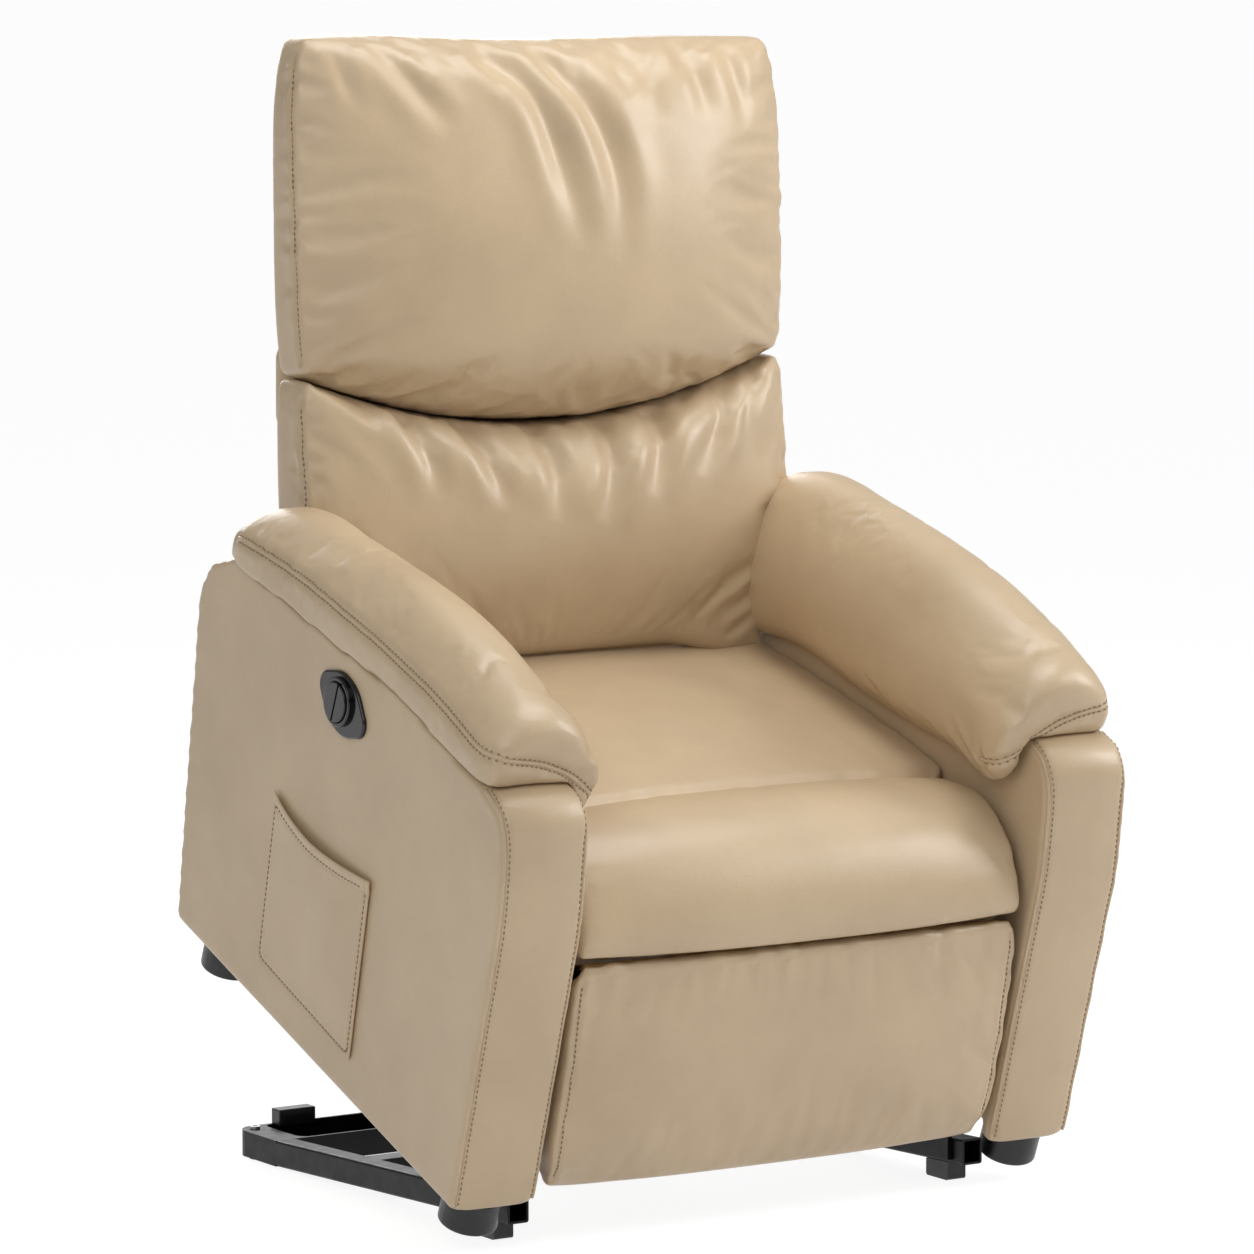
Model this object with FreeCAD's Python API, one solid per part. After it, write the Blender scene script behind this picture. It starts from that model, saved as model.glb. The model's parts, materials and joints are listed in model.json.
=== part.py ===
import FreeCAD, Part
import math
import os

# Lift recliner chair, raised and tilted forward, millimetres.
# The chair faces -Y, +X is the sitter's left and +Z is up. The origin is on the floor, mid-base.
# The base is modelled in the floor's frame. The chair is modelled in its own frame, whose origin is
# the lower front edge of the arms and whose +Z runs up the arms, and is then tilted onto the base.

# Overall sizes of the chair
ARM_OUTER_X = 380.0
ARM_INNER_X = 281.0
ARM_TO_SEAT = 19.0
ARM_TO_LEG_PANEL = 17.0
ARM_TO_RAIL_CENTRE = 1.0
BACK_HALF_WIDTH = 291.0
BACK_LENGTH = 680.0
BACK_LEAN = 22.0
FORWARD_TILT = 21.6
SKIN_GAP = 0.3

# Lift base, floor's frame
RAIL_WIDTH = 25.0
RAIL_HEIGHT = 28.0
RAIL_WALL = 2.5
RAIL_CORNER = 3.0
RAIL_FRONT_Y = -209.0
RAIL_FRONT_Z = 21.0
RAIL_REAR_Z = 2.0
TRAY_FRONT_Y = 259.0
TRAY_REAR_Y = 347.0
TRAY_WALL = 3.0
TRAY_CAVITY_X = 262.0
TRAY_PLAN_RADIUS = 22.0
TRAY_CAVITY_RADIUS = 14.0
TRAY_SCREW_X = 279.0
TRAY_SCREW_Y = 330.0
TRAY_SCREW_RADIUS = 3.0
TRAY_SCREW_HEAD_RADIUS = 5.5
TRAY_SCREW_LENGTH = 16.0
FLOOR_PAD_RADIUS = 12.0
FRONT_LEG_WIDTH = 23.0
FRONT_LEG_DEPTH = 40.0
FRONT_LEG_Y = -181.0
BASE_TUBE_Y = 94.0
BASE_TUBE_DEPTH = 25.0
BASE_TUBE_Z = 14.0
BASE_TUBE_HEIGHT = 20.0
BASE_TUBE_WALL = 2.0
STOP_WIDTH = 45.0
STOP_DEPTH = 18.0
STOP_HEIGHT = 17.0
STOP_INNER_X = 204.0

# Lift linkage, floor's frame for the base pivots and chair's frame for the others
FRONT_PIVOT = (-175.0, 84.0)
REAR_PIVOT = (-138.0, 93.0)
CHAIR_FRONT_PIVOT = (170.0, 55.0)
CHAIR_REAR_PIVOT = (430.0, 90.0)
FRONT_LINK_LENGTH = 114.1
FRONT_LINK_ANGLE = 44.26
BRACKET_THICKNESS = 5.0
ARM_THICKNESS = 6.0
LINK_THICKNESS = 6.0
SIDE_PLATE_THICKNESS = 5.0
BRACKET_TO_ARM = 1.5
ARM_TO_LINK = 3.0
LINK_TO_PLATE = 3.0
PLATE_TO_LOWER_LINK = 2.0
FOOT_LINK_THICKNESS = 6.0
FOOT_LINK_GAP = 1.5
BRACKET_END_RADIUS = 14.0
BRACKET_FOOT_Z = 24.0
LIFT_PIN_RADIUS = 6.0
LIFT_HEAD_RADIUS = 9.0
LIFT_HEAD_LENGTH = 5.0
REAR_PIN_RADIUS = 7.0
CLIP_THICKNESS = 2.0
CLIP_GAP = 0.4
PIN_FIT = 0.05
OPEN_PIVOT_CLEARANCE = 1.2
LINK_END_RADIUS = 15.0
LIFT_ARM_END_RADIUS = 16.0
TORQUE_TUBE_ALONG = 170.0
TORQUE_TUBE_ABOVE = 60.0
TORQUE_TUBE_RADIUS = 14.0
TORQUE_TUBE_BORE = 11.0
CRANK_ALONG = 90.0
CRANK_ABOVE = 50.0
CRANK_INNER_X = 16.0
CRANK_THICKNESS = 6.0
CRANK_END_RADIUS = 14.0
CRANK_HUB_RADIUS = 21.0

# Lift actuator, distances along its axis from the rear clevis pin
MOTOR_PIVOT = (289.0, 55.0)
MOTOR_PIN_RADIUS = 6.0
CLEVIS_INNER_X = 14.0
CLEVIS_THICKNESS = 6.0
CLEVIS_END_RADIUS = 13.0
GEARBOX_START = 20.0
GEARBOX_LENGTH = 60.0
GEARBOX_HALF_WIDTH = 32.0
GEARBOX_HALF_HEIGHT = 29.0
GEARBOX_CORNER = 8.0
MOTOR_CAN_RADIUS = 28.0
MOTOR_CAN_LENGTH = 110.0
MOTOR_CAP_RADIUS = 22.0
MOTOR_CAP_LENGTH = 8.0
MOTOR_SPIGOT = 13.0
OUTER_TUBE_RADIUS = 17.0
OUTER_TUBE_END = 250.0
PUSH_ROD_RADIUS = 10.0
PUSH_ROD_START = 205.0
PUSH_ROD_FIT = 0.1
ROD_EYE_RADIUS = 19.0
ROD_EYE_CLEARANCE = 5.2
ROD_EYE_HALF_WIDTH = 12.0

# Footrest linkage, chair's frame
FOOT_PIVOT = (110.0, 190.0)
FOOT_ELBOW = (125.0, 41.0)
FOOT_PANEL_PIVOT = (45.0, 165.0)
FOOT_LINK_END_RADIUS = 11.0
FOOT_PIN_RADIUS = 4.0
FOOT_PIN_HEAD_RADIUS = 7.0
FOOT_PIN_HEAD = 1.2
FOOT_TUBE_RADIUS = 8.0
FOOT_TUBE_BORE = 6.5
FOOT_TUBE_SHARE = 0.5

# Seat frame, chair's frame
PLATE_TOP_Z = 215.0
FRONT_RAIL_Y = 55.0
FRONT_RAIL_DEPTH = 25.0
FRONT_RAIL_Z = 205.0
REAR_RAIL_Y = 545.0
REAR_RAIL_DEPTH = 25.0
REAR_RAIL_Z = 183.0
SIDE_RAIL_WIDTH = 35.0
SIDE_RAIL_Y = 165.0
SIDE_RAIL_Z = 180.0
BACK_PIVOT = (606.0, 240.0)
BACK_PIN_RADIUS = 5.0
BRACKET_HEIGHT = 190.0
BRACKET_SHOULDER = 20.0
BRACKET_CORNER = 4.0
BACK_BRACKET_THICKNESS = 7.0
BACK_EAR_RADIUS = 15.0
CUSHION_FRONT_Z = 236.0
CUSHION_REAR_Z = 222.0
CUSHION_REAR_Y = 575.0
SPRING_COUNT = 5
SPRING_SPACING = 80.0
SPRING_WIRE_RADIUS = 1.9
SPRING_STAND = 0.6
SPRING_LEG = 38.0
SPRING_BENDS = 14
CLIP_WALL = 1.5
SPRING_CLIP_WIDTH = 16.0
SPRING_CLIP_DEPTH = 12.0
REAR_PANEL_THICKNESS = 6.0
CONTROL_BOX_X = 60.0
CONTROL_BOX_WIDTH = 130.0
CONTROL_BOX_DEPTH = 42.0
CONTROL_BOX_REACH = 12.0
CONTROL_BOX_HEIGHT = 45.0
CONTROL_BOX_ROUND = 4.0
INLET_X = 150.0
INLET_Z = 110.0
INLET_RADIUS = 11.0
INLET_DEPTH = 5.0
INLET_FLOOR = 1.0
INLET_SOCKET_RADIUS = 6.0
INLET_PIN_RADIUS = 1.2
INLET_PIN_LENGTH = 3.0
REAR_PANEL_Z = 45.0
REAR_PANEL_SHOULDER_Z = 185.0
REAR_PANEL_TOP_Z = 222.0
MOUNT_BOLT_RADIUS = 4.0
MOUNT_SPACER_RADIUS = 8.0
MOUNT_BOLT_HEAD = 4.0
MOUNT_BOLT_PLACES = ((150.0, 165.0), (320.0, 190.0), (490.0, 172.0))

# Arms, chair's frame
ARM_SKIN = 12.0
INNER_SKIN = 10.0
BAND_THICKNESS = 15.0
BAND_CROWN = 5.0
ARM_BASE_Z = 0.0
RAIL_RECESS_X = 300.0
RAIL_RECESS_Z = 20.0
RAIL_RECESS_Y = 15.0
ARM_REAR_LOW_Y = 594.0
REAR_PANEL_Y = ARM_REAR_LOW_Y - 18.0
ARM_REAR_HIGH = (675.0, 352.0)
ARM_REAR_CORNER = (662.0, 392.0)
ARM_TOP_REAR = (617.0, 421.0)
ARM_TOP_MIDDLE = (403.0, 433.0)
ARM_TOP_FRONT = (272.0, 443.0)
BAND_FOOT_Y = -8.0
BAND_KNEE = (16.0, 310.0)
BAND_SHOULDER = (48.0, 433.0)
BAND_END_Y = 129.0
BAND_KNEE_RADIUS = 250.0
BAND_SHOULDER_RADIUS = 42.0
PAD_OVERHANG = 6.0
PAD_INNER_X = 250.0
PAD_CROWN_X = 325.0
PAD_CENTRE_X = 322.0
PAD_SHOULDER_SHARE = 0.55
PAD_SHOULDER_SET = 13.0
PAD_HEM_SET = 4.0
PAD_HEM_RISE = 15.0
PAD_HEM_DEPTH = 16.0
PAD_EDGE_SET = 21.0
PAD_EDGE_RISE = 0.68
PAD_FALL_SET = 5.0
PAD_FALL_SHARE = 0.24
PAD_FALL_DROP = 3.0
PAD_BULGE = 3.0
PAD_BEDDING = 4.0
FOOT_RADIUS = 31.0
FOOT_HEIGHT = 34.0
FOOT_X = ARM_OUTER_X - 45.0
FOOT_FRONT_Y = 24.0
FOOT_REAR_Y = 542.0
FOOT_EDGE = 3.0

# Side pocket and hand switch on the sitter's right arm
POCKET_REAR_TOP = (452.0, 236.0)
POCKET_FRONT_TOP = (249.0, 240.0)
POCKET_FRONT_LOW = (220.0, 45.0)
POCKET_REAR_LOW = (424.0, 51.0)
POCKET_SAG = 14.0
POCKET_SEAM = 3.0
POCKET_DEPTH = 7.0
POCKET_SKIN = 1.8
SWITCH_Y = 364.0
SWITCH_Z = 383.0
SWITCH_TILT = 8.5
SWITCH_LENGTH = 104.0
SWITCH_WIDTH = 62.0
SWITCH_WAIST = 34.0
SWITCH_TIP_REACH = 8.0
SWITCH_TIP_RADIUS = 16.0
SWITCH_SIDE_RADIUS = 44.0
SWITCH_PLATE = 4.0
RING_Y = 368.0
RING_Z = 384.0
RING_RADIUS = 26.0
RING_BORE = 21.0
RING_HEIGHT = 4.5
BUTTON_GAP = 0.2
BUTTON_HEIGHT = 6.5
BUTTON_TRAVEL = 1.5
BUTTON_CROWN = 1.2
RIDGE_HALF_WIDTH = 1.2
RIDGE_HEIGHT = 7.5
SWITCH_BODY_RADIUS = 24.0
SWITCH_BODY_DEPTH = 32.0

# Back, its own frame along the back and out of its front
BACK_ORIGIN = (600.0, 262.0)
BOARD_FRONT = -12.0
BOARD_THICKNESS = 12.0
BOARD_BOTTOM = 10.0
BOARD_TOP = 664.0
REAR_COVER_THICKNESS = 18.0
LUMBAR_HALF_WIDTH = 244.0
WING_LOW = 196.0
WING_CORNER = 14.0
WING_LOW_OUT = 36.0
WING_HIGH = 270.0
WING_HIGH_OUT = 72.0
BOARD_WING = 204.0
BOARD_WING_RISE = 30.0
BOARD_NECK_CORNER = 12.0
VALLEY_CENTRE = 276.0
VALLEY_SIDE = 337.0
VALLEY_GAP = 1.0

LUMBAR_BOTTOM = 16.0
HEADREST_CORNER_DROP = 5.0

# How far the back cushions stand out, and their edge roundings: at the side seams, in the middle
HEADREST_FOOT_OUT = (54.0, 92.0)
HEADREST_MIDDLE_OUT = (50.0, 104.0)
HEADREST_TOP_OUT = (38.0, 74.0)
HEADREST_FOOT_ROUND = (14.0, 36.0)
HEADREST_TOP_ROUND = (16.0, 46.0)
LUMBAR_FOOT_OUT = (58.0, 78.0)
LUMBAR_MIDDLE_OUT = (60.0, 100.0)
LUMBAR_TOP_OUT = (52.0, 92.0)
LUMBAR_FOOT_ROUND = (40.0, 56.0)
LUMBAR_TOP_ROUND = (14.0, 34.0)

# Seat cushion with its front roll, chair's frame
SEAT_DRAW = 12.0
SEAT_CROWN_DRAW = 1.3
RAIL_LAP = 3.0
NOSE_BACK = 8.0
NOSE_RISE = 9.0
NOSE_MIDDLE = (2.0, 3.0)
FACE_BULGE = (31.0, 32.0)
CREST_BULGE = (42.0, 5.0)
ROLL_BOTTOM_Z = 263.0
ROLL_FRONT_Y = 8.0
ROLL_CREST_Y = 122.0
ROLL_TOP_Z = 362.0
CHANNEL_Y = 198.0
CHANNEL_Z = 343.0
SEAT_CROWN_Z = 331.0
SEAT_REAR_Z = 303.0
SEAT_REAR_SLOPE = 0.2
SEAT_TO_BACK = 1.5

# Footrest panel, chair's frame
LEG_PANEL_TOP = 257.0
LEG_PANEL_BOTTOM = 8.0
LEG_BACK_TOP_Y = 30.0
LEG_BACK_BOTTOM_Y = 16.0
LEG_BOARD_THICKNESS = 9.0
LEG_BOARD_SIDE_INSET = 9.0
LEG_BOARD_INSET = 6.0
LEG_PANEL_DRAW = 9.0
LEG_FOOT_Y = -6.0
LEG_FOOT_ROUND = 6.0
LEG_BELLY_Y = -19.0
LEG_BELLY_RISE = 30.0
LEG_CHEST_Y = -8.0
LEG_CHEST_RISE = 140.0
LEG_CHEST_ROUND = 120.0
LEG_HEAD_Y = 12.0
LEG_HEAD_ROUND = 8.0
LEG_FLANGE_THICKNESS = 8.0
LEG_FLANGE_REAR_Y = 44.0
LEG_FLANGE_TOP_Z = 236.0
LEG_FLANGE_CORNER = 10.0

# Swell of the cushions between their side seams
CROWN_POWER = 2.6
CROWN_STATIONS = (-1.0, -0.93, -0.75, -0.4, 0.0, 0.4, 0.75, 0.93, 1.0)

# Sizes that follow from the ones above
SEAT_HALF_WIDTH = ARM_INNER_X - ARM_TO_SEAT
LEG_PANEL_HALF_WIDTH = ARM_INNER_X - ARM_TO_LEG_PANEL
LEG_BOARD_HALF_WIDTH = LEG_PANEL_HALF_WIDTH - LEG_BOARD_SIDE_INSET
RAIL_X = ARM_INNER_X + ARM_TO_RAIL_CENTRE
RAIL_LENGTH = TRAY_FRONT_Y - RAIL_FRONT_Y
RAIL_INNER_X = RAIL_X - RAIL_WIDTH / 2
RAIL_OUTER_X = RAIL_X + RAIL_WIDTH / 2
BRACKET_X = RAIL_INNER_X - BRACKET_THICKNESS
LIFT_ARM_X = BRACKET_X - BRACKET_TO_ARM - ARM_THICKNESS
FRONT_LINK_X = LIFT_ARM_X - ARM_TO_LINK - LINK_THICKNESS
PLATE_X = FRONT_LINK_X - LINK_TO_PLATE - SIDE_PLATE_THICKNESS
PLATE_OUTER_X = PLATE_X + SIDE_PLATE_THICKNESS
LOWER_LINK_X = PLATE_X - PLATE_TO_LOWER_LINK - FOOT_LINK_THICKNESS
UPPER_LINK_X = LOWER_LINK_X - FOOT_LINK_GAP - FOOT_LINK_THICKNESS
PANEL_BRACKET_X = UPPER_LINK_X - FOOT_LINK_GAP - FOOT_LINK_THICKNESS
BACK_BRACKET_X = PLATE_X - PLATE_TO_LOWER_LINK - BACK_BRACKET_THICKNESS
CORE_INNER_X = ARM_INNER_X + INNER_SKIN
CORE_OUTER_X = ARM_OUTER_X - ARM_SKIN
TILT = math.radians(FORWARD_TILT)
LINK_RAD = math.radians(FRONT_LINK_ANGLE)
BACK_RAD = math.radians(BACK_LEAN)


def turned(y, z, angle):
    """Turns a (y, z) pair about X, from +Y towards +Z."""
    return (y * math.cos(angle) - z * math.sin(angle), y * math.sin(angle) + z * math.cos(angle))


def chair_origin():
    """Floor-frame place of the chair frame's origin with the front link at its raised angle."""
    pin_y = FRONT_PIVOT[0] + FRONT_LINK_LENGTH * math.cos(LINK_RAD)
    pin_z = FRONT_PIVOT[1] + FRONT_LINK_LENGTH * math.sin(LINK_RAD)
    offset = turned(CHAIR_FRONT_PIVOT[0], CHAIR_FRONT_PIVOT[1], TILT)
    return (pin_y - offset[0], pin_z - offset[1])


CHAIR_Y, CHAIR_Z = chair_origin()


def chair_to_floor(y, z):
    """Floor-frame (y, z) of a point in the chair's frame."""
    moved = turned(y, z, TILT)
    return (CHAIR_Y + moved[0], CHAIR_Z + moved[1])


def back_point(up, out):
    """Chair-frame (y, z) of a point given along the back and out of its front."""
    lean = math.pi / 2 - BACK_RAD
    moved = turned(up, out, lean)
    return (BACK_ORIGIN[0] + moved[0], BACK_ORIGIN[1] + moved[1])


REAR_PIN_FLOOR = chair_to_floor(*CHAIR_REAR_PIVOT)
LIFT_ARM_LENGTH = math.dist(REAR_PIN_FLOOR, REAR_PIVOT)
LIFT_ARM_ANGLE = math.atan2(REAR_PIN_FLOOR[1] - REAR_PIVOT[1], REAR_PIN_FLOOR[0] - REAR_PIVOT[0])


def lift_arm_point(along, above):
    """Floor-frame (y, z) of a point given along the raised rear lift arm and above it."""
    moved = turned(along, above, LIFT_ARM_ANGLE)
    return (REAR_PIVOT[0] + moved[0], REAR_PIVOT[1] + moved[1])


TORQUE_TUBE = lift_arm_point(TORQUE_TUBE_ALONG, TORQUE_TUBE_ABOVE)
CRANK_PIN = lift_arm_point(CRANK_ALONG, CRANK_ABOVE)
ACTUATOR_LENGTH = math.dist(CRANK_PIN, MOTOR_PIVOT)
ACTUATOR_ANGLE = math.atan2(CRANK_PIN[1] - MOTOR_PIVOT[1], CRANK_PIN[0] - MOTOR_PIVOT[0])


def actuator_point(along, above):
    """Floor-frame (y, z) of a point along the actuator's axis from its clevis pin, and above it."""
    moved = turned(along, -above, ACTUATOR_ANGLE)
    return (MOTOR_PIVOT[0] + moved[0], MOTOR_PIVOT[1] + moved[1])


# Building blocks

def vec(x, point):
    return FreeCAD.Vector(x, point[0], point[1])


def box(low, high):
    """Box between two corners."""
    size = [b - a for a, b in zip(low, high)]
    return Part.makeBox(size[0], size[1], size[2], FreeCAD.Vector(*low))


def bar(point, radius, x_from, x_to):
    """Round bar along X through a (y, z) point."""
    length = abs(x_to - x_from)
    start = FreeCAD.Vector(min(x_from, x_to), point[0], point[1])
    return Part.makeCylinder(radius, length, start, FreeCAD.Vector(1, 0, 0))


def tube(point, radius, bore, x_from, x_to):
    """Round tube along X through a (y, z) point."""
    return bar(point, radius, x_from, x_to).cut(bar(point, bore, x_from, x_to))


def rounded_wire(corners, place):
    """Closed wire through (a, b, radius) corners with tangent arcs; place puts (a, b) in space."""
    count = len(corners)
    starts, ends, edges = [], [], []
    for i, corner in enumerate(corners):
        here = place(corner)
        before = (place(corners[i - 1]) - here).normalize()
        after = (place(corners[(i + 1) % count]) - here).normalize()
        radius = corner[2] if len(corner) > 2 else 0.0
        half = before.getAngle(after) / 2
        if radius <= 0.0:
            starts.append(here)
            ends.append(here)
            edges.append(None)
            continue
        reach = radius / math.tan(half)
        first = here + before * reach
        last = here + after * reach
        middle_way = (before + after).normalize()
        middle = here + middle_way * (radius / math.sin(half) - radius)
        starts.append(first)
        ends.append(last)
        edges.append(Part.Arc(first, middle, last).toShape())
    outline = []
    for i in range(count):
        if edges[i] is not None:
            outline.append(edges[i])
        following = starts[(i + 1) % count]
        if ends[i].distanceToPoint(following) > 1e-6:
            outline.append(Part.makeLine(ends[i], following))
    return Part.Wire(outline)


def plate(corners, x_from, x_to, holes=()):
    """Plate normal to X with rounded corners; holes are ((y, z), radius)."""
    low, high = sorted((x_from, x_to))
    wire = rounded_wire(corners, lambda corner: vec(low, corner))
    shape = Part.Face(wire).extrude(FreeCAD.Vector(high - low, 0, 0))
    for point, radius in holes:
        shape = shape.cut(bar(point, radius, low - 1, high + 1))
    return shape


def link(points, radius, x_from, x_to, holes):
    """Flat link with round ends between two (y, z) points."""
    low, high = sorted((x_from, x_to))
    along = FreeCAD.Vector(0, points[1][0] - points[0][0], points[1][1] - points[0][1]).normalize()
    side = FreeCAD.Vector(1, 0, 0).cross(along) * radius
    a, b = vec(low, points[0]), vec(low, points[1])
    wire = Part.Wire([
        Part.makeLine(a + side, b + side),
        Part.Arc(b + side, b + along * radius, b - side).toShape(),
        Part.makeLine(b - side, a - side),
        Part.Arc(a - side, a - along * radius, a + side).toShape(),
    ])
    shape = Part.Face(wire).extrude(FreeCAD.Vector(high - low, 0, 0))
    for point, hole in holes:
        shape = shape.cut(bar(point, hole, low - 1, high + 1))
    return shape


def mirrored(shape):
    return shape.mirror(FreeCAD.Vector(0, 0, 0), FreeCAD.Vector(1, 0, 0))


def pair(shape):
    """The shape and its mirror image on the other side of the chair."""
    return Part.makeCompound([shape, mirrored(shape)])


def edge_filleted(shape, radius, wanted):
    """Fillet of the edges whose centre passes the test."""
    chosen = [edge for edge in shape.Edges if wanted(edge)]
    return shape.makeFillet(radius, chosen)


def on_base(shape):
    """Chair-frame shape placed on the raised base."""
    moved = shape.copy()
    moved.rotate(FreeCAD.Vector(0, 0, 0), FreeCAD.Vector(1, 0, 0), FORWARD_TILT)
    moved.translate(FreeCAD.Vector(0, CHAIR_Y, CHAIR_Z))
    return moved


def save(name, shape):
    shape.exportStep("parts/" + name + ".step")


# Lift base

def rail_bottom(y):
    """Height of the sloping rails' underside."""
    share = (y - RAIL_FRONT_Y) / RAIL_LENGTH
    return RAIL_FRONT_Z + (RAIL_REAR_Z - RAIL_FRONT_Z) * share


def base_rail():
    """Rectangular tube, open at the front end, that slopes down to the tray."""
    def outline(inset):
        return [
            (RAIL_FRONT_Y, RAIL_FRONT_Z + inset),
            (TRAY_FRONT_Y, RAIL_REAR_Z + inset),
            (TRAY_FRONT_Y, RAIL_REAR_Z + RAIL_HEIGHT - inset),
            (RAIL_FRONT_Y, RAIL_FRONT_Z + RAIL_HEIGHT - inset),
        ]
    outer = plate(outline(0.0), RAIL_INNER_X, RAIL_OUTER_X)
    outer = edge_filleted(outer, RAIL_CORNER, lambda edge: edge.Length > RAIL_LENGTH * 0.9)
    bore = plate(outline(RAIL_WALL), RAIL_INNER_X + RAIL_WALL, RAIL_OUTER_X - RAIL_WALL)
    return outer.cut(bore)


def tray():
    """Rear cross-member, an open channel with solid end blocks and rounded rear corners."""
    top = RAIL_REAR_Z + RAIL_HEIGHT
    outer = box((-RAIL_OUTER_X, TRAY_FRONT_Y, RAIL_REAR_Z), (RAIL_OUTER_X, TRAY_REAR_Y, top))
    outer = edge_filleted(outer, TRAY_PLAN_RADIUS, lambda edge: (
        abs(edge.Length - RAIL_HEIGHT) < 1e-6 and edge.CenterOfMass.y > TRAY_REAR_Y - 1))
    cavity = box(
        (-TRAY_CAVITY_X, TRAY_FRONT_Y + TRAY_WALL, RAIL_REAR_Z + TRAY_WALL),
        (TRAY_CAVITY_X, TRAY_REAR_Y - TRAY_WALL, top + 1))
    cavity = edge_filleted(cavity, TRAY_CAVITY_RADIUS, lambda edge: (
        abs(edge.tangentAt(edge.FirstParameter).z) > 0.99))
    shape = outer.cut(cavity)
    for side in (-1, 1):
        shape = shape.cut(screw_shank(side * TRAY_SCREW_X, PIN_FIT))
    return shape


def screw_shank(x, extra):
    top = RAIL_REAR_Z + RAIL_HEIGHT
    start = FreeCAD.Vector(x, TRAY_SCREW_Y, top - TRAY_SCREW_LENGTH)
    return Part.makeCylinder(TRAY_SCREW_RADIUS + extra, TRAY_SCREW_LENGTH, start)


def tray_screws():
    """Socket-head screws that hold the tray's end blocks to the rails' inserts."""
    top = RAIL_REAR_Z + RAIL_HEIGHT
    screws = []
    for side in (-1, 1):
        head = Part.makeCylinder(
            TRAY_SCREW_HEAD_RADIUS, TRAY_SCREW_RADIUS,
            FreeCAD.Vector(side * TRAY_SCREW_X, TRAY_SCREW_Y, top))
        socket = Part.makeCylinder(
            TRAY_SCREW_HEAD_RADIUS / 2, TRAY_SCREW_RADIUS / 2,
            FreeCAD.Vector(side * TRAY_SCREW_X, TRAY_SCREW_Y, top + TRAY_SCREW_RADIUS / 2))
        screws.append(head.cut(socket).fuse(screw_shank(side * TRAY_SCREW_X, 0.0)))
    return Part.makeCompound(screws)


def floor_pads():
    """Thin round pads under the tray's end blocks."""
    pads = []
    for side in (-1, 1):
        centre = FreeCAD.Vector(side * TRAY_SCREW_X, TRAY_SCREW_Y - FLOOR_PAD_RADIUS, 0)
        pads.append(Part.makeCylinder(FLOOR_PAD_RADIUS, RAIL_REAR_Z, centre))
    return Part.makeCompound(pads)


def front_legs():
    """Blocks under the front ends of the rails, cut to the rails' slope."""
    rear = FRONT_LEG_Y + FRONT_LEG_DEPTH
    half = FRONT_LEG_WIDTH / 2
    corners = [
        (FRONT_LEG_Y, 0.0, FOOT_EDGE),
        (rear, 0.0, FOOT_EDGE),
        (rear, rail_bottom(rear)),
        (FRONT_LEG_Y, rail_bottom(FRONT_LEG_Y)),
    ]
    return pair(plate(corners, RAIL_X - half, RAIL_X + half))


def base_cross_tube():
    """Rectangular tube between the rails."""
    top = BASE_TUBE_Z + BASE_TUBE_HEIGHT
    rear = BASE_TUBE_Y + BASE_TUBE_DEPTH
    wall = BASE_TUBE_WALL
    outer = box((-RAIL_INNER_X, BASE_TUBE_Y, BASE_TUBE_Z), (RAIL_INNER_X, rear, top))
    bore = box(
        (-RAIL_INNER_X, BASE_TUBE_Y + wall, BASE_TUBE_Z + wall), (RAIL_INNER_X, rear - wall, top - wall))
    return outer.cut(bore)


def stop_blocks():
    """Blocks on the tray's rear lip."""
    low = RAIL_REAR_Z + RAIL_HEIGHT
    block = box(
        (STOP_INNER_X, TRAY_REAR_Y - STOP_DEPTH, low),
        (STOP_INNER_X + STOP_WIDTH, TRAY_REAR_Y, low + STOP_HEIGHT))
    block = edge_filleted(block, RAIL_CORNER / 2, lambda edge: edge.CenterOfMass.z > low + 1)
    return pair(block)


def base_brackets():
    """Plates on the rails' inner sides that carry both base pivots of the lift linkage."""
    reach = BRACKET_END_RADIUS
    corners = [
        (FRONT_PIVOT[0] - reach, BRACKET_FOOT_Z),
        (FRONT_PIVOT[0] - reach, FRONT_PIVOT[1] + reach, reach * 0.9),
        (REAR_PIVOT[0] - reach / 2, REAR_PIVOT[1] + reach, reach / 2),
        (REAR_PIVOT[0] + reach, REAR_PIVOT[1] + reach, reach * 0.9),
        (REAR_PIVOT[0] + 2 * reach, BRACKET_FOOT_Z),
    ]
    holes = [(FRONT_PIVOT, LIFT_PIN_RADIUS), (REAR_PIVOT, LIFT_PIN_RADIUS)]
    return pair(plate(corners, BRACKET_X, RAIL_INNER_X, holes))


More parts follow.
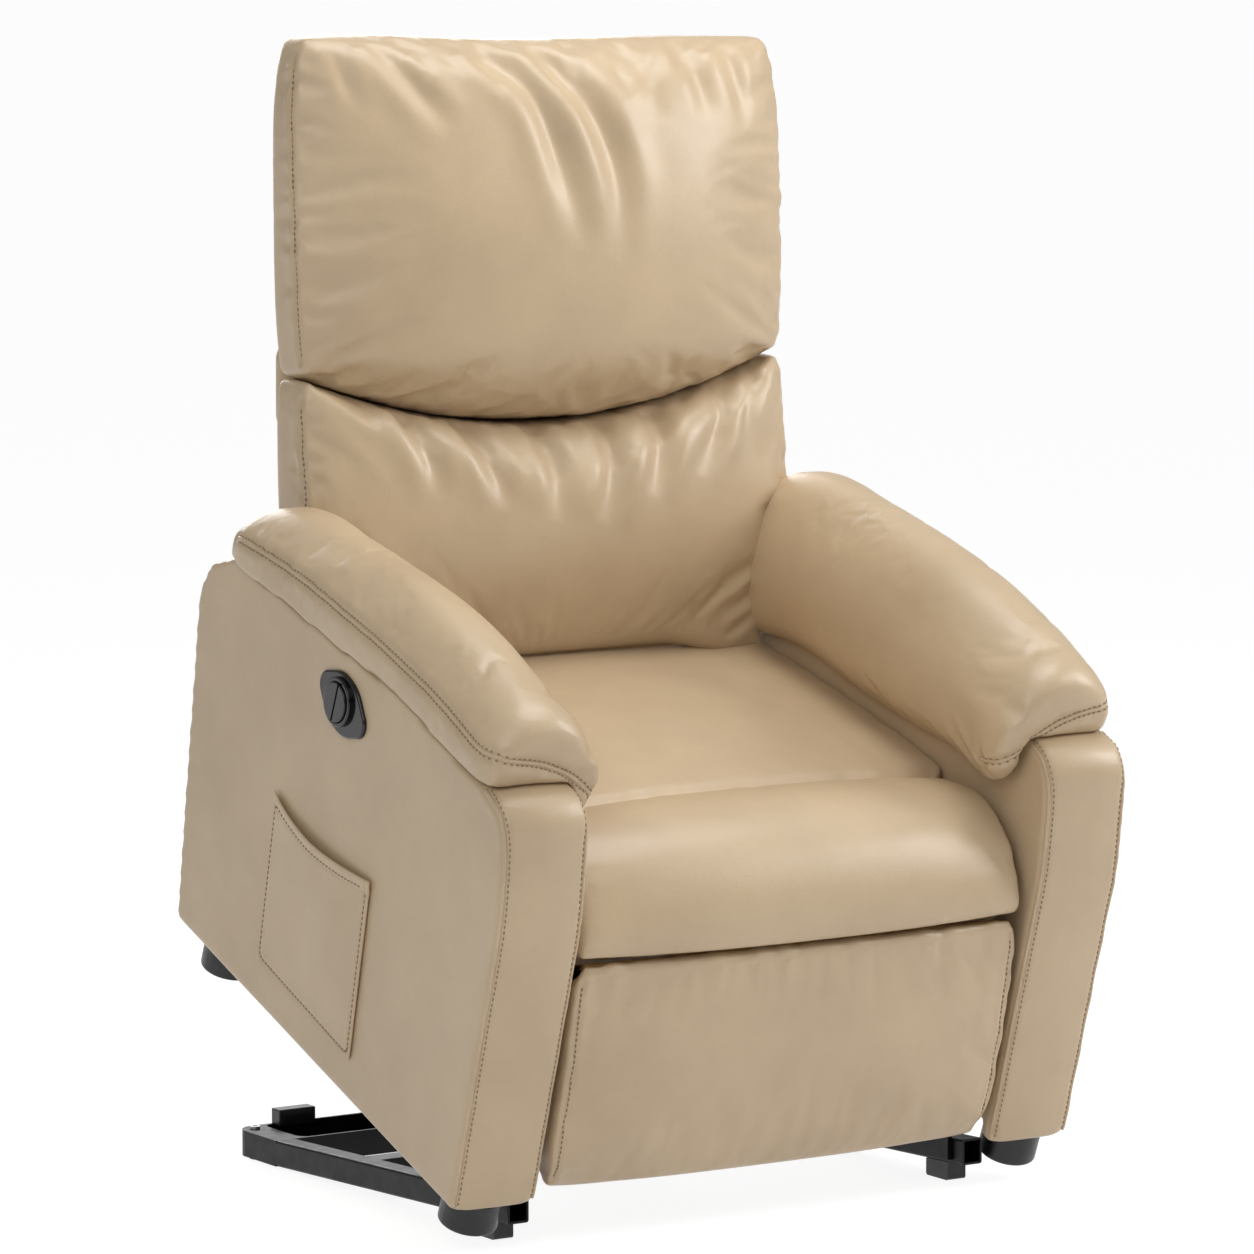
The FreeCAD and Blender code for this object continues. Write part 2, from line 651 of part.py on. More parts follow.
def base_pivot_pins():
    """Headed pins with their spacers and clips at the four base pivots."""
    head_end = RAIL_INNER_X + LIFT_HEAD_LENGTH
    front_clip = FRONT_LINK_X - CLIP_GAP
    front = bar(FRONT_PIVOT, LIFT_PIN_RADIUS, front_clip - CLIP_THICKNESS, RAIL_INNER_X)
    front = front.fuse(bar(FRONT_PIVOT, LIFT_HEAD_RADIUS, RAIL_INNER_X, head_end))
    front = front.fuse(bar(FRONT_PIVOT, LIFT_HEAD_RADIUS, front_clip - CLIP_THICKNESS, front_clip))
    front = front.fuse(bar(
        FRONT_PIVOT, LIFT_HEAD_RADIUS, FRONT_LINK_X + LINK_THICKNESS + CLIP_GAP, BRACKET_X))
    rear_clip = LIFT_ARM_X - CLIP_GAP
    rear = bar(REAR_PIVOT, LIFT_PIN_RADIUS, rear_clip - CLIP_THICKNESS, RAIL_INNER_X)
    rear = rear.fuse(bar(REAR_PIVOT, LIFT_HEAD_RADIUS, RAIL_INNER_X, head_end))
    rear = rear.fuse(bar(REAR_PIVOT, LIFT_HEAD_RADIUS, rear_clip - CLIP_THICKNESS, rear_clip))
    rear = rear.fuse(bar(
        REAR_PIVOT, LIFT_HEAD_RADIUS, LIFT_ARM_X + ARM_THICKNESS + CLIP_GAP, BRACKET_X))
    return Part.makeCompound([front, rear, mirrored(front), mirrored(rear)])


def motor_clevis():
    """Two lugs in the tray that hold the actuator's rear pin."""
    low = RAIL_REAR_Z + TRAY_WALL
    radius = CLEVIS_END_RADIUS
    corners = [
        (MOTOR_PIVOT[0] - 2 * radius + TRAY_WALL, low),
        (MOTOR_PIVOT[0] - radius, MOTOR_PIVOT[1] + radius, radius * 0.95),
        (MOTOR_PIVOT[0] + radius, MOTOR_PIVOT[1] + radius, radius * 0.95),
        (MOTOR_PIVOT[0] + 2 * radius, low),
    ]
    lug = plate(corners, CLEVIS_INNER_X, CLEVIS_INNER_X + CLEVIS_THICKNESS,
                [(MOTOR_PIVOT, MOTOR_PIN_RADIUS)])
    return pair(lug)


def motor_pin():
    """Rear pin of the actuator with its head and clip."""
    outer = CLEVIS_INNER_X + CLEVIS_THICKNESS
    pin = bar(MOTOR_PIVOT, MOTOR_PIN_RADIUS, -outer - CLIP_THICKNESS, outer + CLIP_THICKNESS)
    for side in (-1, 1):
        pin = pin.fuse(bar(MOTOR_PIVOT, LIFT_HEAD_RADIUS, side * outer, side * (outer + CLIP_THICKNESS)))
    return pin


def make_base():
    rail = base_rail()
    save("base_rail_left", rail)
    save("base_rail_right", mirrored(rail))
    save("base_tray", tray())
    save("tray_screws", tray_screws())
    save("base_feet", Part.makeCompound([floor_pads(), front_legs()]))
    save("base_cross_tube", base_cross_tube())
    save("base_stop_blocks", stop_blocks())
    save("base_brackets", Part.makeCompound([base_brackets(), motor_clevis()]))
    save("base_pivot_pins", Part.makeCompound([base_pivot_pins(), motor_pin()]))


# Lift linkage

def front_links():
    """Short links between the base and the side plates' front ears."""
    moving = chair_to_floor(*CHAIR_FRONT_PIVOT)
    hole = LIFT_PIN_RADIUS + PIN_FIT
    return pair(link(
        [FRONT_PIVOT, moving], LINK_END_RADIUS, FRONT_LINK_X, FRONT_LINK_X + LINK_THICKNESS,
        [(FRONT_PIVOT, hole), (moving, hole)]))


def lift_arm():
    """Long rear arm with the gusset that meets the torque tube."""
    radius = LIFT_ARM_END_RADIUS
    hub = TORQUE_TUBE_RADIUS + ARM_THICKNESS / 2
    ends = LIFT_ARM_LENGTH + radius
    corners = [
        (-radius, -radius, radius * 0.99),
        (ends, -radius, radius * 0.99),
        (ends, radius, radius * 0.99),
        (TORQUE_TUBE_ALONG + 4 * hub, radius, 3 * radius),
        (TORQUE_TUBE_ALONG + hub, TORQUE_TUBE_ABOVE + hub, hub * 0.9),
        (TORQUE_TUBE_ALONG - hub, TORQUE_TUBE_ABOVE + hub, hub * 0.9),
        (TORQUE_TUBE_ALONG - 4 * hub, radius, 2 * radius),
        (-radius, radius, radius * 0.99),
    ]
    placed = [lift_arm_point(c[0], c[1]) + (c[2],) for c in corners]
    holes = [
        (REAR_PIVOT, LIFT_PIN_RADIUS + PIN_FIT),
        (REAR_PIN_FLOOR, REAR_PIN_RADIUS + OPEN_PIVOT_CLEARANCE),
    ]
    return plate(placed, LIFT_ARM_X, LIFT_ARM_X + ARM_THICKNESS, holes)


def torque_tube():
    return tube(TORQUE_TUBE, TORQUE_TUBE_RADIUS, TORQUE_TUBE_BORE, -LIFT_ARM_X, LIFT_ARM_X)


def crank_plates():
    """Two plates on the torque tube that the actuator pushes."""
    outer_x = CRANK_INNER_X + CRANK_THICKNESS
    shape = link([TORQUE_TUBE, CRANK_PIN], CRANK_END_RADIUS, CRANK_INNER_X, outer_x, [])
    shape = shape.fuse(bar(TORQUE_TUBE, CRANK_HUB_RADIUS, CRANK_INNER_X, outer_x)).removeSplitter()
    shape = shape.cut(bar(TORQUE_TUBE, TORQUE_TUBE_RADIUS, 0, ARM_INNER_X))
    shape = shape.cut(bar(CRANK_PIN, MOTOR_PIN_RADIUS, 0, ARM_INNER_X))
    return pair(shape)


def crank_pin():
    """Pin through both crank plates and the rod's eye, with a head at each end."""
    outer_x = CRANK_INNER_X + CRANK_THICKNESS
    pin = bar(CRANK_PIN, MOTOR_PIN_RADIUS, -outer_x - CLIP_THICKNESS, outer_x + CLIP_THICKNESS)
    for side in (-1, 1):
        pin = pin.fuse(bar(CRANK_PIN, LIFT_HEAD_RADIUS, side * outer_x, side * (outer_x + CLIP_THICKNESS)))
    return pin


def make_lift_linkage():
    save("lift_front_links", front_links())
    arm = lift_arm()
    save("lift_arm_left", arm)
    save("lift_arm_right", mirrored(arm))
    save("lift_torque_tube", torque_tube())
    save("lift_crank", Part.makeCompound([crank_plates(), crank_pin()]))


# Lift actuator

def turned_bar(start, end, radius):
    """Round bar along the actuator's axis between two distances from its rear pin."""
    a = vec(0, actuator_point(start, 0))
    b = vec(0, actuator_point(end, 0))
    return Part.makeCylinder(radius, end - start, a, b - a)


def motor_gearbox():
    """Gearbox with its rear lug, the root of the outer tube and the spigot for the motor can."""
    half = GEARBOX_HALF_HEIGHT
    end = GEARBOX_START + GEARBOX_LENGTH
    round_corner = GEARBOX_CORNER
    corners = [
        actuator_point(GEARBOX_START, half) + (round_corner,),
        actuator_point(end, half) + (round_corner,),
        actuator_point(end, -half) + (round_corner,),
        actuator_point(GEARBOX_START, -half) + (round_corner,),
    ]
    body = plate(corners, -GEARBOX_HALF_WIDTH, GEARBOX_HALF_WIDTH)
    lug_half = CLEVIS_INNER_X - CLIP_GAP
    root = actuator_point(GEARBOX_START + GEARBOX_CORNER, 0)
    lug = link([MOTOR_PIVOT, root], CLEVIS_END_RADIUS, -lug_half, lug_half, [])
    body = body.fuse(lug)
    body = body.cut(bar(MOTOR_PIVOT, MOTOR_PIN_RADIUS + PIN_FIT, -ARM_INNER_X, ARM_INNER_X))
    return body.cut(turned_bar(end - MOTOR_SPIGOT, end, OUTER_TUBE_RADIUS))


def motor_can():
    """Round motor lying across the gearbox's left side, with a stepped end cap."""
    centre = actuator_point(GEARBOX_START + GEARBOX_LENGTH / 2, 0)
    end = GEARBOX_HALF_WIDTH + MOTOR_CAN_LENGTH
    can = bar(centre, MOTOR_CAN_RADIUS, GEARBOX_HALF_WIDTH, end)
    return can.fuse(bar(centre, MOTOR_CAP_RADIUS, end, end + MOTOR_CAP_LENGTH))


def actuator_tube():
    """Outer tube that the push rod slides in."""
    start = GEARBOX_START + GEARBOX_LENGTH - MOTOR_SPIGOT
    outer = turned_bar(start, OUTER_TUBE_END, OUTER_TUBE_RADIUS)
    return outer.cut(turned_bar(start + TRAY_WALL, OUTER_TUBE_END, PUSH_ROD_RADIUS + PUSH_ROD_FIT))


def push_rod():
    """Push rod with its eye around the crank pin."""
    rod = turned_bar(PUSH_ROD_START, ACTUATOR_LENGTH - ROD_EYE_RADIUS / 2, PUSH_ROD_RADIUS)
    eye = bar(CRANK_PIN, ROD_EYE_RADIUS, -ROD_EYE_HALF_WIDTH, ROD_EYE_HALF_WIDTH)
    bore = bar(CRANK_PIN, MOTOR_PIN_RADIUS + ROD_EYE_CLEARANCE, -ARM_INNER_X, ARM_INNER_X)
    return rod.fuse(eye).cut(bore)


def make_actuator():
    save("motor_gearbox", motor_gearbox())
    save("motor_can", motor_can())
    save("actuator_tube", actuator_tube())
    save("actuator_push_rod", push_rod())


# Seat frame, in the chair's frame

def cushion_bottom(y):
    """Height of the seat cushion's underside."""
    share = (y - FRONT_RAIL_Y) / (CUSHION_REAR_Y - FRONT_RAIL_Y)
    return CUSHION_FRONT_Z + (CUSHION_REAR_Z - CUSHION_FRONT_Z) * share


def spring_height(y):
    """Height of the springs' wire centre, with the clips just under the cushion."""
    return cushion_bottom(y) - SKIN_GAP - CLIP_WALL - SPRING_WIRE_RADIUS


SPRING_FRONT_Y = FRONT_RAIL_Y + FRONT_RAIL_DEPTH / 2
SPRING_REAR_Y = REAR_RAIL_Y + REAR_RAIL_DEPTH / 2


def rail_top(y):
    """Top of the cross rail under the springs' end legs at y."""
    return spring_height(y) - SPRING_WIRE_RADIUS - SPRING_STAND


def side_plate():
    """Mechanism plate with ears for the lift pivots and the back's hinge, arched between them."""
    ear = LIFT_ARM_END_RADIUS
    hinge = BACK_EAR_RADIUS
    front_top = rail_top(SPRING_FRONT_Y)
    arch = SIDE_RAIL_Z - 16.0
    corners = [
        (FRONT_RAIL_Y - 2, front_top, 6),
        (FRONT_RAIL_Y + FRONT_RAIL_DEPTH + 8, front_top, 10),
        (FRONT_RAIL_Y + FRONT_RAIL_DEPTH + 26, PLATE_TOP_Z, 10),
        (REAR_RAIL_Y, PLATE_TOP_Z, 20),
        (BACK_PIVOT[0] - hinge, BACK_PIVOT[1] + hinge, hinge * 0.9),
        (BACK_PIVOT[0] + hinge, BACK_PIVOT[1] + hinge, hinge * 0.9),
        (BACK_PIVOT[0] + hinge, BACK_PIVOT[1] - hinge, hinge * 0.9),
        (REAR_RAIL_Y + REAR_RAIL_DEPTH, SIDE_RAIL_Z + 8, 25),
        (CHAIR_REAR_PIVOT[0] + 2.2 * ear, arch - ear, 20),
        (CHAIR_REAR_PIVOT[0] + ear, CHAIR_REAR_PIVOT[1] - ear, ear * 0.9),
        (CHAIR_REAR_PIVOT[0] - ear, CHAIR_REAR_PIVOT[1] - ear, ear * 0.9),
        (CHAIR_REAR_PIVOT[0] - 2.2 * ear, arch, 30),
        (CHAIR_FRONT_PIVOT[0] + 2.2 * ear, arch, 30),
        (CHAIR_FRONT_PIVOT[0] + ear, CHAIR_FRONT_PIVOT[1] - ear, ear * 0.9),
        (CHAIR_FRONT_PIVOT[0] - ear, CHAIR_FRONT_PIVOT[1] - ear, ear * 0.9),
        (FOOT_PIVOT[0] + ear, FOOT_PIVOT[1] - 1.5 * ear, 20),
        (FOOT_PIVOT[0] - ear, FOOT_PIVOT[1] - ear, 12),
        (FRONT_RAIL_Y - 2, FRONT_RAIL_Z, 4),
    ]
    holes = [
        (CHAIR_FRONT_PIVOT, LIFT_PIN_RADIUS),
        (CHAIR_REAR_PIVOT, REAR_PIN_RADIUS),
        (FOOT_PIVOT, FOOT_PIN_RADIUS),
        (BACK_PIVOT, BACK_PIN_RADIUS),
    ]
    holes += [(place, MOUNT_BOLT_RADIUS) for place in MOUNT_BOLT_PLACES]
    return plate(corners, PLATE_X, PLATE_OUTER_X, holes)


def seat_front_rail():
    rear = FRONT_RAIL_Y + FRONT_RAIL_DEPTH
    return box((-PLATE_X, FRONT_RAIL_Y, FRONT_RAIL_Z), (PLATE_X, rear, rail_top(SPRING_FRONT_Y)))


def seat_rear_rail():
    rear = REAR_RAIL_Y + REAR_RAIL_DEPTH
    return box((-PLATE_X, REAR_RAIL_Y, REAR_RAIL_Z), (PLATE_X, rear, rail_top(SPRING_REAR_Y)))


def seat_side_rails():
    """Timber rails bolted along the side plates' inner faces."""
    rail = box((PLATE_X - SIDE_RAIL_WIDTH, SIDE_RAIL_Y, SIDE_RAIL_Z), (PLATE_X, REAR_RAIL_Y, PLATE_TOP_Z))
    for place in MOUNT_BOLT_PLACES:
        rail = rail.cut(bar(place, MOUNT_BOLT_RADIUS, 0, ARM_INNER_X))
    return pair(rail)


def spring_path(x, corner_y):
    """Zigzag spring: legs along X joined by half turns, on the slope under the cushion."""
    pitch = (SPRING_REAR_Y - SPRING_FRONT_Y) / SPRING_BENDS
    edges = []
    side = 1
    half = SPRING_LEG / 2

    def at(px, py):
        return FreeCAD.Vector(x + px, py, spring_height(py))

    for i in range(SPRING_BENDS + 1):
        y = corner_y + i * pitch
        edges.append(Part.makeLine(at(-side * half, y), at(side * half, y)))
        if i < SPRING_BENDS:
            bulge = at(side * (half + pitch / 2), y + pitch / 2)
            edges.append(Part.Arc(at(side * half, y), bulge, at(side * half, y + pitch)).toShape())
        side = -side
    return Part.Wire(edges)


def seat_springs():
    """Row of zigzag springs from the front rail to the rear rail."""
    springs = []
    for i in range(SPRING_COUNT):
        x = (i - (SPRING_COUNT - 1) / 2) * SPRING_SPACING
        path = spring_path(x, SPRING_FRONT_Y)
        start = path.Vertexes[0].Point
        section = Part.Wire(Part.Circle(start, FreeCAD.Vector(1, 0, 0), SPRING_WIRE_RADIUS).toShape())
        springs.append(path.makePipeShell([section], True, False))
    return Part.makeCompound(springs)


def spring_clips():
    """Saddle clips over the springs' end legs on both rails."""
    clips = []
    for i in range(SPRING_COUNT):
        x = (i - (SPRING_COUNT - 1) / 2) * SPRING_SPACING
        for y in (SPRING_FRONT_Y, SPRING_REAR_Y):
            centre = spring_height(y)
            half_x = SPRING_CLIP_WIDTH / 2
            half_y = SPRING_CLIP_DEPTH / 2
            top = centre + SPRING_WIRE_RADIUS + CLIP_WALL
            clip = box((x - half_x, y - half_y, rail_top(y)), (x + half_x, y + half_y, top))
            wire = bar((y, centre), SPRING_WIRE_RADIUS + PIN_FIT, x - half_x, x + half_x)
            slot = box((x - half_x, y - SPRING_WIRE_RADIUS - PIN_FIT, rail_top(y)),
                       (x + half_x, y + SPRING_WIRE_RADIUS + PIN_FIT, centre))
            clips.append(clip.cut(wire).cut(slot))
    return Part.makeCompound(clips)


def rear_panel():
    """Lower rear panel between the arms, narrower above the side plates' ears."""
    rear = REAR_PANEL_Y + REAR_PANEL_THICKNESS
    low = box((-ARM_INNER_X, REAR_PANEL_Y, REAR_PANEL_Z), (ARM_INNER_X, rear, REAR_PANEL_SHOULDER_Z))
    high_x = PLATE_X - PLATE_TO_LOWER_LINK
    high = box((-high_x, REAR_PANEL_Y, REAR_PANEL_SHOULDER_Z), (high_x, rear, REAR_PANEL_TOP_Z))
    return low.fuse(high).removeSplitter()


def control_box():
    """Control box hung under the rear rail."""
    rear = REAR_RAIL_Y + CONTROL_BOX_REACH
    near = (CONTROL_BOX_X, rear - CONTROL_BOX_DEPTH, REAR_RAIL_Z - CONTROL_BOX_HEIGHT)
    far = (CONTROL_BOX_X + CONTROL_BOX_WIDTH, rear, REAR_RAIL_Z)
    return edge_filleted(box(near, far), CONTROL_BOX_ROUND, lambda edge: (
        abs(edge.tangentAt(edge.FirstParameter).y) > 0.99))


def power_inlet():
    """Low-voltage inlet on the rear panel: a flanged body with a round socket and its pin."""
    y = REAR_PANEL_Y + REAR_PANEL_THICKNESS
    centre = FreeCAD.Vector(-INLET_X, y, INLET_Z)
    out = FreeCAD.Vector(0, 1, 0)
    body = Part.makeCylinder(INLET_RADIUS, INLET_DEPTH, centre, out)
    floor = centre + out * INLET_FLOOR
    socket = Part.makeCylinder(INLET_SOCKET_RADIUS, INLET_DEPTH, floor, out)
    pin = Part.makeCylinder(INLET_PIN_RADIUS, INLET_PIN_LENGTH, floor, out)
    return body.cut(socket).fuse(pin)


def arm_mount_bolts():
    """Bolts and spacers that hold each arm to its side plate."""
    bolts = []
    for place in MOUNT_BOLT_PLACES:
        inner_x = PLATE_X if place[1] < SIDE_RAIL_Z else PLATE_X - SIDE_RAIL_WIDTH
        bolt = bar(place, MOUNT_BOLT_RADIUS, inner_x, ARM_INNER_X)
        bolt = bolt.fuse(bar(place, MOUNT_SPACER_RADIUS, inner_x - MOUNT_BOLT_HEAD, inner_x))
        bolt = bolt.fuse(bar(place, MOUNT_SPACER_RADIUS, PLATE_OUTER_X, ARM_INNER_X))
        bolts += [bolt, mirrored(bolt)]
    return Part.makeCompound(bolts)


def lift_plate_pins():
    """Pins of the front links and rear arms in the side plates' ears."""
    link_outer = FRONT_LINK_X + LINK_THICKNESS
    front = bar(CHAIR_FRONT_PIVOT, LIFT_PIN_RADIUS, PLATE_X - LIFT_HEAD_LENGTH, link_outer + CLIP_GAP)
    front = front.fuse(bar(CHAIR_FRONT_PIVOT, LIFT_HEAD_RADIUS, PLATE_X - LIFT_HEAD_LENGTH, PLATE_X))
    front = front.fuse(bar(CHAIR_FRONT_PIVOT, LIFT_HEAD_RADIUS, PLATE_OUTER_X, FRONT_LINK_X - CLIP_GAP))
    front = front.fuse(bar(
        CHAIR_FRONT_PIVOT, LIFT_HEAD_RADIUS, link_outer + CLIP_GAP, link_outer + CLIP_GAP + CLIP_THICKNESS))
    arm_outer = LIFT_ARM_X + ARM_THICKNESS
    rear = bar(CHAIR_REAR_PIVOT, REAR_PIN_RADIUS, PLATE_X - LIFT_HEAD_LENGTH, arm_outer + CLIP_GAP)
    rear = rear.fuse(bar(
        CHAIR_REAR_PIVOT, LIFT_ARM_END_RADIUS * 0.75, PLATE_X - LIFT_HEAD_LENGTH, PLATE_X))
    rear = rear.fuse(bar(
        CHAIR_REAR_PIVOT, LIFT_ARM_END_RADIUS * 0.75, PLATE_OUTER_X, LIFT_ARM_X - CLIP_GAP))
    rear = rear.fuse(bar(
        CHAIR_REAR_PIVOT, LIFT_ARM_END_RADIUS * 0.75, arm_outer + CLIP_GAP,
        arm_outer + CLIP_GAP + CLIP_THICKNESS))
    return Part.makeCompound([front, rear, mirrored(front), mirrored(rear)])


def hinge_pin(point, radius, head, x_from, x_to):
    """Pin along X with a thin head at its outer end."""
    return bar(point, radius, x_from, x_to).fuse(bar(point, head, x_to, x_to + FOOT_PIN_HEAD))


def seat_hinge_pins():
    """Pins of the footrest's lower links and of the back's hinge."""
    foot = hinge_pin(FOOT_PIVOT, FOOT_PIN_RADIUS, FOOT_PIN_HEAD_RADIUS, LOWER_LINK_X, PLATE_OUTER_X)
    back = hinge_pin(BACK_PIVOT, BACK_PIN_RADIUS, LIFT_HEAD_RADIUS, BACK_BRACKET_X, PLATE_OUTER_X)
    return Part.makeCompound([foot, back, mirrored(foot), mirrored(back)])


def make_seat_frame():
    frame_plate = side_plate()
    save("side_plate_left", on_base(frame_plate))
    save("side_plate_right", on_base(mirrored(frame_plate)))
    save("seat_cross_rails", on_base(Part.makeCompound([seat_front_rail(), seat_rear_rail()])))
    save("seat_side_rails", on_base(seat_side_rails()))
    save("seat_springs", on_base(seat_springs()))
    save("spring_clips", on_base(spring_clips()))
    save("lower_rear_panel", on_base(rear_panel()))
    save("control_box", on_base(control_box()))
    save("power_inlet", on_base(power_inlet()))
    save("arm_mount_bolts", on_base(arm_mount_bolts()))
    save("seat_pivot_pins", on_base(Part.makeCompound([lift_plate_pins(), seat_hinge_pins()])))


# Footrest linkage

def lower_links():
    x = LOWER_LINK_X
    return pair(link(
        [FOOT_PIVOT, FOOT_ELBOW], FOOT_LINK_END_RADIUS, x, x + FOOT_LINK_THICKNESS,
        [(FOOT_PIVOT, FOOT_PIN_RADIUS + PIN_FIT), (FOOT_ELBOW, FOOT_PIN_RADIUS)]))


def upper_links():
    x = UPPER_LINK_X
    hole = FOOT_PIN_RADIUS + PIN_FIT
    return pair(link(
        [FOOT_ELBOW, FOOT_PANEL_PIVOT], FOOT_LINK_END_RADIUS, x, x + FOOT_LINK_THICKNESS,
        [(FOOT_ELBOW, hole), (FOOT_PANEL_PIVOT, hole)]))


def footrest_cross_tube():
    """Tube that ties both lower links together."""
    y = FOOT_PIVOT[0] + (FOOT_ELBOW[0] - FOOT_PIVOT[0]) * FOOT_TUBE_SHARE
    z = FOOT_PIVOT[1] + (FOOT_ELBOW[1] - FOOT_PIVOT[1]) * FOOT_TUBE_SHARE
    return tube((y, z), FOOT_TUBE_RADIUS, FOOT_TUBE_BORE, -LOWER_LINK_X, LOWER_LINK_X)


def elbow_pins():
    """Pins fixed in the lower links, with the washer between both links."""
    outer = LOWER_LINK_X + FOOT_LINK_THICKNESS
    pin = hinge_pin(FOOT_ELBOW, FOOT_PIN_RADIUS, FOOT_PIN_HEAD_RADIUS, UPPER_LINK_X, outer)
    washer_x = UPPER_LINK_X + FOOT_LINK_THICKNESS + CLIP_GAP
    return pair(pin.fuse(bar(FOOT_ELBOW, FOOT_PIN_HEAD_RADIUS, washer_x, LOWER_LINK_X)))


def leg_back(z, out=0.0):
    """Y of the plane between the footrest's pad and board at height z."""
    share = (z - LEG_PANEL_BOTTOM) / (LEG_PANEL_TOP - LEG_PANEL_BOTTOM)
    return LEG_BACK_BOTTOM_Y + (LEG_BACK_TOP_Y - LEG_BACK_BOTTOM_Y) * share + out


def footrest_board():
    low = LEG_PANEL_BOTTOM + LEG_BOARD_INSET
    high = LEG_PANEL_TOP - LEG_BOARD_INSET
    thick = LEG_BOARD_THICKNESS
    corners = [
        (leg_back(low), low),
        (leg_back(low, thick), low, 3),
        (leg_back(high, thick), high, 3),
        (leg_back(high), high),
    ]
    return plate(corners, -LEG_BOARD_HALF_WIDTH, LEG_BOARD_HALF_WIDTH)


def panel_brackets():
    """Plates on the footrest board's back that the upper links carry."""
    thick = LEG_BOARD_THICKNESS
    reach = FOOT_PIN_HEAD_RADIUS + 2
    low = FOOT_PANEL_PIVOT[1] - 3 * reach
    high = FOOT_PANEL_PIVOT[1] + 3 * reach
    corners = [
        (leg_back(low, thick), low),
        (FOOT_PANEL_PIVOT[0] + reach, FOOT_PANEL_PIVOT[1] - reach, reach * 0.9),
        (FOOT_PANEL_PIVOT[0] + reach, FOOT_PANEL_PIVOT[1] + reach, reach * 0.9),
        (leg_back(high, thick), high),
    ]
    x = PANEL_BRACKET_X
    return pair(plate(corners, x, x + FOOT_LINK_THICKNESS, [(FOOT_PANEL_PIVOT, FOOT_PIN_RADIUS)]))


def panel_pins():
    outer = UPPER_LINK_X + FOOT_LINK_THICKNESS
    pin = hinge_pin(FOOT_PANEL_PIVOT, FOOT_PIN_RADIUS, FOOT_PIN_HEAD_RADIUS, PANEL_BRACKET_X, outer)
    washer_x = PANEL_BRACKET_X + FOOT_LINK_THICKNESS
    washer = bar(FOOT_PANEL_PIVOT, FOOT_PIN_HEAD_RADIUS, washer_x, UPPER_LINK_X - CLIP_GAP)
    return pair(pin.fuse(washer))


def swell(station):
    """Share of a cushion's full crown at a station from -1 to 1 across it."""
    return 1.0 - abs(station) ** CROWN_POWER


def loft(wires):
    return Part.makeLoft(wires, True, False)


def footrest_pad():
    """Padded front of the footrest, bowed and drawn in at both sides, with its side flaps."""
    sections = []
    for station in CROWN_STATIONS:
        x = station * LEG_PANEL_HALF_WIDTH
        draw = LEG_PANEL_DRAW * (1.0 - swell(station))
        low, high = LEG_PANEL_BOTTOM, LEG_PANEL_TOP
        corners = [
            (leg_back(low), low),
            (LEG_FOOT_Y + draw, low, LEG_FOOT_ROUND),
            (LEG_BELLY_Y + draw, low + LEG_BELLY_RISE, LEG_BELLY_RISE),
            (LEG_CHEST_Y + draw, low + LEG_CHEST_RISE, LEG_CHEST_ROUND),
            (LEG_HEAD_Y + draw, high, LEG_HEAD_ROUND),
            (leg_back(high), high),
        ]
        sections.append(rounded_wire(corners, lambda corner, at=x: vec(at, corner)))
    front = loft(sections)
    low = LEG_PANEL_BOTTOM + LEG_PANEL_DRAW
    flange = plate([
        (leg_back(low) + SKIN_GAP, low), (LEG_FLANGE_REAR_Y, low, LEG_FLANGE_CORNER),
        (LEG_FLANGE_REAR_Y, LEG_FLANGE_TOP_Z, LEG_FLANGE_CORNER),
        (leg_back(LEG_FLANGE_TOP_Z) + SKIN_GAP, LEG_FLANGE_TOP_Z),
    ], LEG_PANEL_HALF_WIDTH - LEG_FLANGE_THICKNESS, LEG_PANEL_HALF_WIDTH - SKIN_GAP)
    return Part.makeCompound([front, flange, mirrored(flange)])


def make_footrest():
    save("footrest_lower_links", on_base(Part.makeCompound([lower_links(), footrest_cross_tube()])))
    save("footrest_elbow_pins", on_base(elbow_pins()))
    save("footrest_upper_links", on_base(upper_links()))
    save("footrest_board", on_base(footrest_board()))
    save("footrest_brackets", on_base(panel_brackets()))
    save("footrest_panel_pins", on_base(panel_pins()))
    save("footrest_pad", on_base(footrest_pad()))


# Seat cushion

def seat_cushion():
    """Seat and front roll in one cushion, with the sewn channel between them."""
    sections = []
    for station in CROWN_STATIONS:
        x = station * SEAT_HALF_WIDTH
        sections.append(seat_section(x, SEAT_DRAW * (1.0 - swell(station))))
    whole = loft(sections)
    top = BACK_PIVOT[1] + BACK_EAR_RADIUS + SKIN_GAP
    for side in (-1, 1):
        inner = side * (PLATE_X - SKIN_GAP)
        outer = side * (PLATE_OUTER_X + SKIN_GAP)
        near = (min(inner, outer), REAR_RAIL_Y, REAR_RAIL_Z)
        notch = box(near, (max(inner, outer), CUSHION_REAR_Y + 1, top))
        whole = whole.cut(notch)
    return whole


